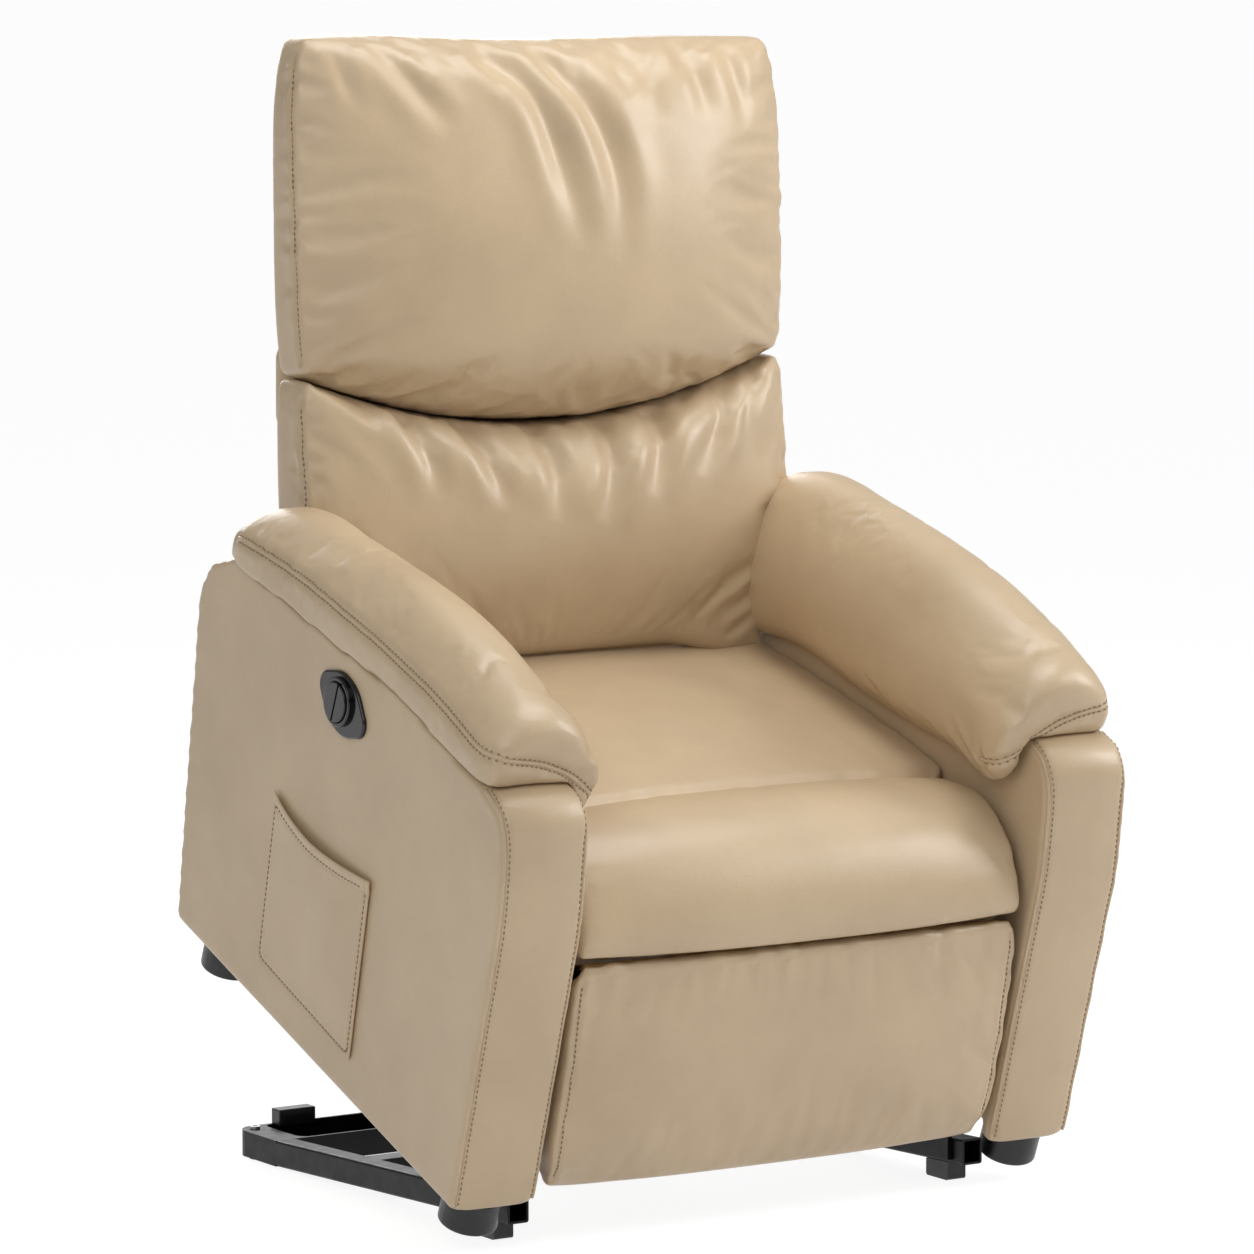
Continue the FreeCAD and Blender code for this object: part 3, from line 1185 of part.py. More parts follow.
def seat_section(x, draw):
    """Side view of the seat cushion at x, drawn in from its outer face by draw."""
    def at(y, z):
        return FreeCAD.Vector(x, y, z)

    low = ROLL_BOTTOM_Z
    lap_y = FRONT_RAIL_Y - RAIL_LAP
    face_y = ROLL_FRONT_Y + draw
    under = at(lap_y, cushion_bottom(lap_y))
    channel = at(CHANNEL_Y, CHANNEL_Z - draw)
    rear_top = at(CUSHION_REAR_Y, SEAT_REAR_Z - draw)
    rear_low = at(CUSHION_REAR_Y, cushion_bottom(CUSHION_REAR_Y))
    nose_low = at(face_y + NOSE_BACK, low)
    nose_middle = at(face_y + NOSE_MIDDLE[0], low + NOSE_MIDDLE[1])
    nose_front = at(face_y, low + NOSE_RISE)
    face_middle = at(face_y + FACE_BULGE[0], ROLL_TOP_Z - draw - FACE_BULGE[1])
    crest_middle = at(ROLL_CREST_Y + CREST_BULGE[0], ROLL_TOP_Z - draw - CREST_BULGE[1])
    crest = at(ROLL_CREST_Y, ROLL_TOP_Z - draw)
    seat_mid = at((CHANNEL_Y + CUSHION_REAR_Y) / 2, SEAT_CROWN_Z - draw * SEAT_CROWN_DRAW)
    edges = [
        Part.makeLine(rear_top, rear_low),
        Part.makeLine(rear_low, under),
        Part.makeLine(under, at(lap_y, low)),
        Part.makeLine(at(lap_y, low), nose_low),
        Part.Arc(nose_low, nose_middle, nose_front).toShape(),
        Part.Arc(nose_front, face_middle, crest).toShape(),
        Part.Arc(crest, crest_middle, channel).toShape(),
        Part.Arc(channel, seat_mid, rear_top).toShape(),
    ]
    return Part.Wire(edges)


# Back, in the chair's frame through the back's own frame

VALLEY_DROP = VALLEY_SIDE - VALLEY_CENTRE
VALLEY_RADIUS = (BACK_HALF_WIDTH ** 2 + VALLEY_DROP ** 2) / (2 * VALLEY_DROP)


def valley(x):
    """Height along the back of the curved seam between headrest and lumbar cushion."""
    return VALLEY_CENTRE + VALLEY_RADIUS - math.sqrt(VALLEY_RADIUS ** 2 - x ** 2)


def between(sizes, share):
    """Size part way from its value at the side seams to its value in the middle."""
    side, middle = sizes
    return side + (middle - side) * share


def pillow_section(x, foot, head, low, mid, high, low_round, high_round):
    """Section of a back cushion at x, between two heights along the back.

    low, mid and high are how far the front stands out near the foot, half way and near the head.
    """
    def at(up, out):
        return vec(x, back_point(up, out))

    def corner_arc(start, tip, end):
        middle = (start + end) * 0.5 + (tip - (start + end) * 0.5) * (2 - math.sqrt(2)) * 0.7071
        return Part.Arc(start, middle, end).toShape()

    foot_wall = at(foot, low - low_round)
    foot_front = at(foot + low_round, low)
    head_front = at(head - high_round, high)
    head_wall = at(head, high - high_round)
    edges = [
        Part.makeLine(at(head, BOARD_FRONT), at(foot, BOARD_FRONT)),
        Part.makeLine(at(foot, BOARD_FRONT), foot_wall),
        corner_arc(foot_wall, at(foot, low), foot_front),
        Part.Arc(foot_front, at((foot + head) / 2, mid), head_front).toShape(),
        corner_arc(head_front, at(head, high), head_wall),
        Part.makeLine(head_wall, at(head, BOARD_FRONT)),
    ]
    return Part.Wire(edges)


def headrest_cushion():
    """Upper back cushion: smile-shaped lower seam, rounded top, full crown in the middle."""
    sections = []
    for station in CROWN_STATIONS:
        x = station * BACK_HALF_WIDTH
        full = swell(station)
        sections.append(pillow_section(
            x, valley(x) + VALLEY_GAP, BACK_LENGTH - HEADREST_CORNER_DROP * (1 - full),
            between(HEADREST_FOOT_OUT, full), between(HEADREST_MIDDLE_OUT, full),
            between(HEADREST_TOP_OUT, full), between(HEADREST_FOOT_ROUND, full),
            between(HEADREST_TOP_ROUND, full)))
    return loft(sections)


def lumbar_cushion():
    """Lower back cushion, narrower where it sits between the arm pads."""
    sections = []
    for station in CROWN_STATIONS:
        x = station * BACK_HALF_WIDTH
        full = swell(station)
        sections.append(pillow_section(
            x, LUMBAR_BOTTOM, valley(x) - VALLEY_GAP,
            between(LUMBAR_FOOT_OUT, full), between(LUMBAR_MIDDLE_OUT, full),
            between(LUMBAR_TOP_OUT, full), between(LUMBAR_FOOT_ROUND, full),
            between(LUMBAR_TOP_ROUND, full)))
    whole = loft(sections)
    beyond = 2 * BACK_HALF_WIDTH
    for side in (-1, 1):
        below = [
            (side * LUMBAR_HALF_WIDTH, -beyond), (side * beyond, -beyond),
            (side * beyond, WING_LOW), (side * LUMBAR_HALF_WIDTH, WING_LOW, WING_CORNER),
        ]
        whole = whole.cut(back_plate(below, -beyond, beyond))
        slant = [
            back_point(WING_LOW - 1, WING_LOW_OUT), back_point(WING_HIGH, WING_HIGH_OUT),
            back_point(WING_HIGH, beyond), back_point(WING_LOW - 1, beyond),
        ]
        inner, outer = sorted((side * LUMBAR_HALF_WIDTH, side * beyond))
        whole = whole.cut(plate(slant, inner, outer))
    rise = SEAT_REAR_SLOPE * CUSHION_REAR_Y
    rear_z = SEAT_REAR_Z + SEAT_TO_BACK
    under = [
        (0, rear_z + rise), (2 * CUSHION_REAR_Y, rear_z - rise), (2 * CUSHION_REAR_Y, -rear_z), (0, -rear_z),
    ]
    return whole.cut(plate(under, -beyond, beyond))


def back_plate(corners, out_from, out_to):
    """Plate through (x, up, radius) corners, parallel to the back's front."""
    low, high = sorted((out_from, out_to))
    wire = rounded_wire(corners, lambda corner: vec(corner[0], back_point(corner[1], low)))
    out = back_point(0, 1)
    origin = back_point(0, 0)
    direction = FreeCAD.Vector(0, out[0] - origin[0], out[1] - origin[1])
    return Part.Face(wire).extrude(direction * (high - low))


def back_outline(half, neck, foot, head, corner):
    """Back outline, narrow between the arms and wide above them."""
    return [
        (-neck, foot, 4), (neck, foot, 4),
        (neck, BOARD_WING, BOARD_NECK_CORNER), (half, BOARD_WING + BOARD_WING_RISE, BOARD_NECK_CORNER),
        (half, head, corner), (-half, head, corner),
        (-half, BOARD_WING + BOARD_WING_RISE, BOARD_NECK_CORNER), (-neck, BOARD_WING, BOARD_NECK_CORNER),
    ]


def back_board():
    corners = back_outline(
        BACK_HALF_WIDTH - 24, BACK_BRACKET_X - 1, BOARD_BOTTOM, BOARD_TOP, 30)
    return back_plate(corners, BOARD_FRONT - BOARD_THICKNESS, BOARD_FRONT)


def back_rear_cover():
    """Padded leather cover behind the back board, with its edges rounded off."""
    corners = back_outline(
        BACK_HALF_WIDTH - 14, BACK_BRACKET_X - 1, BOARD_BOTTOM - 6, BOARD_TOP + 8, 34)
    front = BOARD_FRONT - BOARD_THICKNESS
    cover = back_plate(corners, front - REAR_COVER_THICKNESS, front)
    out = back_point(0, front - REAR_COVER_THICKNESS)
    rear_normal = back_point(0, front)
    normal = FreeCAD.Vector(0, rear_normal[0] - out[0], rear_normal[1] - out[1]).normalize()
    base = vec(0, out)
    return edge_filleted(cover, REAR_COVER_THICKNESS * 0.7, lambda edge: (
        abs((edge.CenterOfMass - base).dot(normal)) < 0.01))


def back_brackets():
    """Hinge plates along the sides of the back board."""
    front = BOARD_FRONT - SKIN_GAP
    rear = BOARD_FRONT - BOARD_THICKNESS
    hinge = turned(BACK_PIVOT[0] - BACK_ORIGIN[0], BACK_PIVOT[1] - BACK_ORIGIN[1],
                   BACK_RAD - math.pi / 2)
    reach = BACK_EAR_RADIUS - 2
    corners = [
        (hinge[0] - reach, hinge[1] + reach, reach * 0.7),
        (hinge[0] - reach, hinge[1] - reach, reach * 0.7),
        (BOARD_BOTTOM + BRACKET_SHOULDER, rear, BRACKET_SHOULDER / 2),
        (BOARD_BOTTOM + BRACKET_HEIGHT, rear, BRACKET_CORNER),
        (BOARD_BOTTOM + BRACKET_HEIGHT, front, BRACKET_CORNER),
        (BOARD_BOTTOM, front, BRACKET_CORNER),
    ]
    placed = [back_point(c[0], c[1]) + (c[2],) for c in corners]
    x = BACK_BRACKET_X
    hole = [(BACK_PIVOT, BACK_PIN_RADIUS + PIN_FIT)]
    return pair(plate(placed, x, x + BACK_BRACKET_THICKNESS, hole))


def make_back():
    save("headrest_cushion", on_base(headrest_cushion()))
    save("lumbar_cushion", on_base(lumbar_cushion()))
    save("back_board", on_base(back_board()))
    save("back_rear_cover", on_base(back_rear_cover()))
    save("back_hinge_brackets", on_base(back_brackets()))


# Arms, built for the +X side and mirrored

def band_back():
    """Corners of the line between the front band and the arm behind it, from the top down."""
    thick = BAND_THICKNESS
    return [
        (BAND_END_Y, BAND_SHOULDER[1] - thick),
        (BAND_SHOULDER[0] + thick * 0.8, BAND_SHOULDER[1] - thick, BAND_SHOULDER_RADIUS - thick),
        (BAND_KNEE[0] + thick, BAND_KNEE[1] + 2, BAND_KNEE_RADIUS - thick),
    ]


def front_band():
    """Padded band up the arm's front and over its shoulder, bowed a little across its width."""
    sections = []
    middle = (ARM_INNER_X + ARM_OUTER_X) / 2
    half = (ARM_OUTER_X - ARM_INNER_X) / 2
    for station in CROWN_STATIONS:
        bow = BAND_CROWN * swell(station)
        corners = [
            (BAND_FOOT_Y - bow, ARM_BASE_Z),
            (BAND_KNEE[0] - bow, BAND_KNEE[1], BAND_KNEE_RADIUS),
            (BAND_SHOULDER[0] - bow, BAND_SHOULDER[1] + bow, BAND_SHOULDER_RADIUS),
            (BAND_END_Y, BAND_SHOULDER[1] + bow),
        ]
        corners += band_back() + [(BAND_FOOT_Y + BAND_THICKNESS, ARM_BASE_Z)]
        x = middle + half * station
        sections.append(rounded_wire(corners, lambda corner, at=x: vec(at, corner)))
    return loft(sections)


def arm_rear_y(z):
    """Rear edge of the arm at height z."""
    lean = (ARM_REAR_HIGH[0] - ARM_REAR_LOW_Y) / ARM_REAR_HIGH[1]
    return ARM_REAR_LOW_Y + lean * z


def arm_outline(recessed):
    """Side outline of the arm behind its front band; the inner side clears the base rail."""
    front = BAND_FOOT_Y + BAND_THICKNESS
    if recessed:
        low = [
            (front, ARM_BASE_Z), (RAIL_RECESS_Y, ARM_BASE_Z), (RAIL_RECESS_Y, RAIL_RECESS_Z),
            (arm_rear_y(RAIL_RECESS_Z), RAIL_RECESS_Z, 8),
        ]
    else:
        low = [(front, ARM_BASE_Z), (ARM_REAR_LOW_Y, ARM_BASE_Z, 12)]
    return low + [
        ARM_REAR_HIGH + (25,), ARM_REAR_CORNER + (30,), ARM_TOP_REAR + (10,),
        ARM_TOP_MIDDLE + (150,), ARM_TOP_FRONT + (200,), (BAND_END_Y, BAND_SHOULDER[1]),
    ] + band_back()


def switch_hole(radius):
    """Round space through the outer panel into the arm for the switch body."""
    return bar((RING_Y, RING_Z), radius, ARM_OUTER_X - SWITCH_BODY_DEPTH, ARM_OUTER_X)


def arm_outer_panel():
    return plate(arm_outline(False), CORE_OUTER_X, ARM_OUTER_X)


def arm_inner_panel():
    return plate(arm_outline(True), ARM_INNER_X, CORE_INNER_X)


def arm_core():
    """Timber and foam filling between the arm's panels, recessed over the base rail."""
    core = plate(arm_outline(False), CORE_INNER_X, CORE_OUTER_X)
    recess = box(
        (CORE_INNER_X, RAIL_RECESS_Y, ARM_BASE_Z - 1), (RAIL_RECESS_X, ARM_REAR_LOW_Y * 2, RAIL_RECESS_Z))
    return core.cut(recess)


# Pad stations from nose to rear: y, lower edge, seam, crown, inner lower edge, share of full size
PAD_STATIONS = (
    (80.0, 440.0, 462.0, 492.0, 415.0, 0.86),
    (87.0, 438.0, 466.0, 502.0, 395.0, 0.95),
    (100.0, 437.0, 469.0, 509.0, 380.0, 0.99),
    (130.0, 436.0, 471.0, 514.0, 372.0, 1.0),
    (260.0, 443.0, 478.0, 526.0, 355.0, 1.0),
    (400.0, 433.0, 473.0, 518.0, 339.0, 1.0),
    (530.0, 424.0, 462.0, 499.0, 321.0, 1.0),
    (605.0, 417.0, 449.0, 481.0, 311.0, 1.0),
    (622.0, 416.0, 445.0, 472.0, 318.0, 0.95),
    (630.0, 416.0, 440.0, 460.0, 330.0, 0.86),
)


def pad_section(y, low, seam, crown, inner, size):
    """Section of the arm pad at y: crowned top, outer edge on the panel, inner side hanging down."""
    outer = ARM_OUTER_X + PAD_OVERHANG
    centre_z = (low + crown) / 2

    def at(x, z):
        return FreeCAD.Vector(
            PAD_CENTRE_X + (x - PAD_CENTRE_X) * size, y, centre_z + (z - centre_z) * size)

    rise = crown - seam
    shoulder = crown - PAD_SHOULDER_SHARE * (crown - low)
    points = [
        at(outer, low), at(outer, seam), at(PAD_CROWN_X, crown), at(PAD_INNER_X + PAD_SHOULDER_SET, shoulder),
        at(PAD_INNER_X + PAD_HEM_SET, inner + PAD_HEM_RISE), at(PAD_INNER_X + PAD_HEM_DEPTH, inner),
        at(ARM_INNER_X + PAD_BEDDING, inner), at(ARM_INNER_X + PAD_BEDDING, low - PAD_BEDDING),
        at(ARM_OUTER_X - PAD_BEDDING, low - PAD_BEDDING), at(ARM_OUTER_X - PAD_BEDDING, low),
    ]
    fall = PAD_FALL_SHARE * (crown - shoulder) + PAD_FALL_DROP
    over = at(outer - PAD_EDGE_SET, seam + PAD_EDGE_RISE * rise)
    down = at((PAD_CROWN_X + PAD_INNER_X) / 2 - PAD_FALL_SET, crown - fall)
    inside = at(PAD_INNER_X - PAD_BULGE, (shoulder + inner) / 2)
    edges = [
        Part.makeLine(points[0], points[1]),
        Part.Arc(points[1], over, points[2]).toShape(),
        Part.Arc(points[2], down, points[3]).toShape(),
        Part.Arc(points[3], inside, points[4]).toShape(),
    ]
    for i in range(4, len(points)):
        edges.append(Part.makeLine(points[i], points[(i + 1) % len(points)]))
    return Part.Wire(edges)


def arm_pad():
    """Long soft pad over the arm, with its nose hanging over the front band."""
    whole = loft([pad_section(*station) for station in PAD_STATIONS])
    for carrier in (arm_core(), arm_outer_panel(), arm_inner_panel(), front_band()):
        whole = whole.cut(carrier)
    return whole


def arm_feet():
    """Round glides under both arms."""
    feet = []
    for y in (FOOT_FRONT_Y, FOOT_REAR_Y):
        start = FreeCAD.Vector(FOOT_X, y, ARM_BASE_Z - FOOT_HEIGHT)
        foot = Part.makeCylinder(FOOT_RADIUS, FOOT_HEIGHT, start)
        foot = edge_filleted(foot, FOOT_EDGE, lambda edge: (
            edge.Closed and edge.CenterOfMass.z < ARM_BASE_Z - FOOT_HEIGHT / 2))
        feet += [foot, mirrored(foot)]
    return Part.makeCompound(feet)


# Side pocket and switch, built for the +X side and mirrored onto the sitter's right arm

def pocket_wire(inset, above, x):
    """Pocket outline with a sagging mouth; above lifts the mouth edge."""
    def at(point, dy, dz):
        return FreeCAD.Vector(x, point[0] + dy, point[1] + dz)

    rear_top = at(POCKET_REAR_TOP, -inset, above)
    front_top = at(POCKET_FRONT_TOP, inset, above)
    front_low = at(POCKET_FRONT_LOW, inset, inset)
    rear_low = at(POCKET_REAR_LOW, -inset, inset)
    mouth = (rear_top + front_top) * 0.5 - FreeCAD.Vector(0, 0, POCKET_SAG)
    return Part.Wire([
        Part.Arc(rear_top, mouth, front_top).toShape(),
        Part.makeLine(front_top, front_low),
        Part.makeLine(front_low, rear_low),
        Part.makeLine(rear_low, rear_top),
    ])


def side_pocket():
    """Flat pocket open at the top, sewn to the outer panel on three sides."""
    outer = Part.Face(pocket_wire(0.0, 0.0, ARM_OUTER_X)).extrude(FreeCAD.Vector(POCKET_DEPTH, 0, 0))
    room = POCKET_DEPTH - POCKET_SKIN
    inner = Part.Face(pocket_wire(POCKET_SEAM, 2 * POCKET_SAG, ARM_OUTER_X))
    return outer.cut(inner.extrude(FreeCAD.Vector(room, 0, 0)))


def switch_plate():
    """Plate around the buttons, broad in its middle and rounded to a point at both ends."""
    tilt = math.radians(SWITCH_TILT)
    tip = SWITCH_LENGTH / 2 + SWITCH_TIP_REACH
    waist, half = SWITCH_WAIST / 2, SWITCH_WIDTH / 2
    outline = [
        (-tip, 0, SWITCH_TIP_RADIUS), (-waist, -half, SWITCH_SIDE_RADIUS), (waist, -half, SWITCH_SIDE_RADIUS),
        (tip, 0, SWITCH_TIP_RADIUS), (waist, half, SWITCH_SIDE_RADIUS), (-waist, half, SWITCH_SIDE_RADIUS),
    ]
    corners = []
    for a, b, radius in outline:
        y, z = turned(a, b, tilt)
        corners.append((SWITCH_Y + y, SWITCH_Z + z, radius))
    shape = plate(corners, ARM_OUTER_X, ARM_OUTER_X + SWITCH_PLATE, [((RING_Y, RING_Z), RING_BORE)])
    return edge_filleted(shape, SWITCH_PLATE * 0.6, lambda edge: (
        abs(edge.CenterOfMass.x - ARM_OUTER_X - SWITCH_PLATE) < 1e-6
        and edge.Vertexes[0].Point.distanceToPoint(vec(ARM_OUTER_X, (RING_Y, RING_Z))) > RING_RADIUS - 2
        and not edge.Closed))


def switch_ring():
    """Raised ring with the ridge that parts both buttons."""
    low = ARM_OUTER_X + SWITCH_PLATE
    ring = tube((RING_Y, RING_Z), RING_RADIUS, RING_BORE, low, low + RING_HEIGHT)
    ring = edge_filleted(ring, 1.5, lambda edge: (
        edge.Closed and edge.CenterOfMass.x > low + 1 and edge.Length > 6.2 * RING_BORE))
    ridge = box(
        (low - SWITCH_PLATE / 2, RING_Y - RIDGE_HALF_WIDTH, RING_Z - RING_BORE),
        (low + RIDGE_HEIGHT, RING_Y + RIDGE_HALF_WIDTH, RING_Z + RING_BORE))
    ridge = ridge.common(bar((RING_Y, RING_Z), RING_BORE, ARM_OUTER_X, low + 2 * RIDGE_HEIGHT))
    return ring.fuse(ridge)


def switch_button(side):
    """Half-round button on one side of the ridge, standing clear of the body by its travel."""
    low = ARM_OUTER_X + BUTTON_TRAVEL + BUTTON_GAP
    high = ARM_OUTER_X + SWITCH_PLATE + BUTTON_HEIGHT
    disc = bar((RING_Y, RING_Z), RING_BORE - BUTTON_GAP, low, high)
    near = RING_Y + side * (RIDGE_HALF_WIDTH + BUTTON_GAP)
    far = RING_Y + side * RING_RADIUS
    half = disc.common(box(
        (low, min(near, far), RING_Z - RING_RADIUS), (high, max(near, far), RING_Z + RING_RADIUS)))
    return edge_filleted(half, BUTTON_CROWN, lambda edge: edge.CenterOfMass.x > high - 1e-6)


def make_arms():
    band = front_band()
    inner = arm_inner_panel()
    outer = arm_outer_panel()
    core = arm_core()
    pad = arm_pad()
    hole = switch_hole(SWITCH_BODY_RADIUS)
    save("arm_front_band_left", on_base(band))
    save("arm_front_band_right", on_base(mirrored(band)))
    save("arm_inner_panel_left", on_base(inner))
    save("arm_inner_panel_right", on_base(mirrored(inner)))
    save("arm_outer_panel_left", on_base(outer))
    save("arm_outer_panel_right", on_base(mirrored(outer.cut(hole))))
    save("arm_core_left", on_base(core))
    save("arm_core_right", on_base(mirrored(core.cut(hole))))
    save("arm_pad_left", on_base(pad))
    save("arm_pad_right", on_base(mirrored(pad)))
    save("arm_feet", on_base(arm_feet()))
    save("side_pocket", on_base(mirrored(side_pocket())))


def make_switch():
    save("switch_body", on_base(mirrored(switch_hole(SWITCH_BODY_RADIUS - PIN_FIT))))
    save("switch_plate", on_base(mirrored(switch_plate())))
    save("switch_ring", on_base(mirrored(switch_ring())))
    save("switch_button_raise", on_base(mirrored(switch_button(1))))
    save("switch_button_lower", on_base(mirrored(switch_button(-1))))


def main():
    os.makedirs("parts", exist_ok=True)
    make_base()
    make_lift_linkage()
    make_actuator()
    make_seat_frame()
    make_footrest()
    save("seat_cushion", on_base(seat_cushion()))
    make_back()
    make_arms()
    make_switch()


main()
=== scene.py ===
import json
import math

import bpy
import numpy as np
from mathutils import Matrix, Vector
from mathutils.bvhtree import BVHTree
from mathutils.kdtree import KDTree


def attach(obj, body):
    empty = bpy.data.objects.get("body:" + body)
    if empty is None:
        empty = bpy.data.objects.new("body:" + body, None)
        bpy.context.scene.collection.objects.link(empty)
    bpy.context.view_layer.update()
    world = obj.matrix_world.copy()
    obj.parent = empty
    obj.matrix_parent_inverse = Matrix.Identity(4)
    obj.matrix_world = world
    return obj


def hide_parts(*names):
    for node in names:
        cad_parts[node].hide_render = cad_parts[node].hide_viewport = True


# Lift recliner chair, raised and tilted forward. The frame is in metres; sizes below are in millimetres
# and MM turns them to metres. The chair's axes: x, y to the rear, z up the arms. The back's axes: x,
# up along it, out of its front. The sitter's left is +x.

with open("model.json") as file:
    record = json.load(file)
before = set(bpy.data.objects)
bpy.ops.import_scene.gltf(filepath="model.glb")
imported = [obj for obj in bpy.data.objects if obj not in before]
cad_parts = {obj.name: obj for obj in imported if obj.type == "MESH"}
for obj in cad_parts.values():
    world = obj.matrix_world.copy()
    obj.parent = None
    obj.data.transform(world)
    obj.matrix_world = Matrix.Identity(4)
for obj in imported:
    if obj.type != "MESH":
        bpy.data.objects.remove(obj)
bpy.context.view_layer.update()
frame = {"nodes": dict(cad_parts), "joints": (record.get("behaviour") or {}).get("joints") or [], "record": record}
NODES = frame["nodes"]
JOINTS = {joint["name"]: joint for joint in frame["joints"]}

MM = 0.001
TILT = math.radians(21.6)
BACK_LEAN = math.radians(22.0)
CHAIR_FRONT_PIVOT = Vector((0.0, 170.0, 55.0)) * MM
BACK_ORIGIN = Vector((0.0, 600.0, 262.0)) * MM
CHAIR = (
    Matrix.Translation(Vector(JOINTS["chair_tilt"]["pos_m"]))
    @ Matrix.Rotation(TILT, 4, "X")
    @ Matrix.Translation(-CHAIR_FRONT_PIVOT)
)
BACK = CHAIR @ Matrix.Translation(BACK_ORIGIN) @ Matrix((
    (1, 0, 0, 0),
    (0, math.sin(BACK_LEAN), -math.cos(BACK_LEAN), 0),
    (0, math.cos(BACK_LEAN), math.sin(BACK_LEAN), 0),
    (0, 0, 0, 1),
))

ARM_OUTER_X = 380.0
ARM_INNER_X = 281.0


# Places and curves

LINE_STEP = 2.0
EVEN_ROUNDS = 6
LAY_ROUNDS = 4
WAVE_SHARES = (0.7, 1.0, 1.45, 2.1)
SWELL_SHARE = 5.3


def point(place, x, y, z):
    """The frame's point, in metres, of (x, y, z) millimetres in the chair's or the back's axes."""
    return place @ (Vector((x, y, z)) * MM)


def local(place, co):
    """The frame's points as millimetres in the chair's or the back's axes."""
    inverse = np.array(place.inverted(), float)
    return (co @ inverse[:3, :3].T + inverse[:3, 3]) / MM


def smoothstep(low, high, value):
    """0 where the value is at low, 1 where it is at high, and an even rise between them."""
    t = np.clip((value - low) / (high - low), 0.0, 1.0)
    return t * t * (3.0 - 2.0 * t)


def within(*edges):
    """Share from 0 to 1 inside a zone; an edge is (values, where they count 0, where they count 1)."""
    share = 1.0
    for values, outside, inside in edges:
        share = share * smoothstep(outside, inside, values)
    return share


def bell(away, width):
    """1 at no distance, faded out at about twice the width."""
    return np.exp(-(away / width) ** 2)


def moves(x=0.0, y=0.0, z=0.0):
    """Shifts along the three axes as one row for each point."""
    return np.stack(np.broadcast_arrays(x, y, z), axis=1)


def waves(t, pitch, seed):
    """Irregular ripple of about the given pitch along t, between about -1 and 1."""
    rng = np.random.default_rng(seed)
    total = np.zeros_like(t)
    for share in WAVE_SHARES:
        phase = rng.uniform(0, 2 * math.pi)
        total += np.sin(2 * math.pi * t / (pitch * share) + phase) / len(WAVE_SHARES)
    phase = rng.uniform(0, 2 * math.pi)
    swell = 0.5 + 0.5 * np.sin(2 * math.pi * t / (pitch * SWELL_SHARE) + phase)
    return total * (0.5 + 0.8 * swell)


def smooth_line(points, step=LINE_STEP):
    """Points every step millimetres on a smooth curve through the given points of the frame."""
    pts = [np.array(p, float) for p in points]
    pts = [2 * pts[0] - pts[1]] + pts + [2 * pts[-1] - pts[-2]]
    dense = []
    for a, b, c, d in zip(pts, pts[1:], pts[2:], pts[3:]):
        for t in np.linspace(0, 1, 24, endpoint=False):
            dense.append(0.5 * (2 * b + (c - a) * t + (2 * a - 5 * b + 4 * c - d) * t ** 2
                                + (3 * b - a - 3 * c + d) * t ** 3))
    dense = np.array(dense + [pts[-2]])
    length = np.concatenate([[0], np.cumsum(np.linalg.norm(np.diff(dense, axis=0), axis=1))])
    wanted = np.linspace(0, length[-1], max(2, int(length[-1] / (step * MM))))
    return np.stack([np.interp(wanted, length, dense[:, i]) for i in range(3)], axis=1)


def chair_line(points):
    """Smooth line through points in the chair's axes."""
    return smooth_line([point(CHAIR, *p) for p in points])


def back_line(points):
    """Smooth line through points in the back's axes."""
    return smooth_line([point(BACK, *p) for p in points])


def sided(points, side):
    """Points given for the sitter's left, for the side that is 1 at the left and -1 at the right."""
    return [(side * x, y, z) for x, y, z in points]


def evened(rows):
    """Rows with every inner one drawn towards the mean of its two neighbours."""
    rows = np.array(rows, float)
    for _ in range(EVEN_ROUNDS):
        rows[1:-1] = 0.5 * rows[1:-1] + 0.25 * (rows[:-2] + rows[2:])
    return rows


def line_tree(line):
    """Search tree of a line's points."""
    tree = KDTree(len(line))
    for i, p in enumerate(line):
        tree.insert(Vector(p), i)
    tree.balance()
    return tree


def near_line(co, line):
    """Distance to the line and place along it, both in millimetres, for every point."""
    tree = line_tree(line)
    along = np.concatenate([[0], np.cumsum(np.linalg.norm(np.diff(line, axis=0), axis=1))])
    away = np.empty(len(co))
    place = np.empty(len(co))
    for i, p in enumerate(co):
        _, index, distance = tree.find(Vector(p))
        away[i] = distance
        place[i] = along[index]
    return away / MM, place / MM


# Mesh tools

def new_piece(name, data):
    """Object with the given data, put in the scene."""
    obj = bpy.data.objects.new(name, data)
    bpy.context.scene.collection.objects.link(obj)
    return obj


def mesh_from(name, vertices, faces):
    """Object with a new mesh."""
    mesh = bpy.data.meshes.new(name)
    mesh.from_pydata([tuple(v) for v in vertices], [], faces)
    mesh.update()
    return new_piece(name, mesh)


def bake_modifiers(obj):
    """The object with its mesh as its modifiers leave it."""
    bpy.context.view_layer.update()
    ready = obj.evaluated_get(bpy.context.evaluated_depsgraph_get())
    mesh = bpy.data.meshes.new_from_object(ready)
    obj.modifiers.clear()
    obj.data = mesh
    return obj


def shade_smooth(obj):
    """Every face shaded smooth."""
    obj.data.polygons.foreach_set("use_smooth", [True] * len(obj.data.polygons))


def read(obj):
    """The mesh's points in metres, one row for each."""
    co = np.empty(len(obj.data.vertices) * 3)
    obj.data.vertices.foreach_get("co", co)
    return co.reshape(-1, 3)


def write(obj, co):
    """Put the mesh's points where the rows say."""
    obj.data.vertices.foreach_set("co", co.ravel())
    obj.data.update()


def push_out(obj, co, push):
    """Move the points co along the surface's normals by push metres."""
    facing = np.empty(len(obj.data.vertices) * 3)
    obj.data.vertex_normals.foreach_get("vector", facing)
    write(obj, co + facing.reshape(-1, 3) * push[:, None])


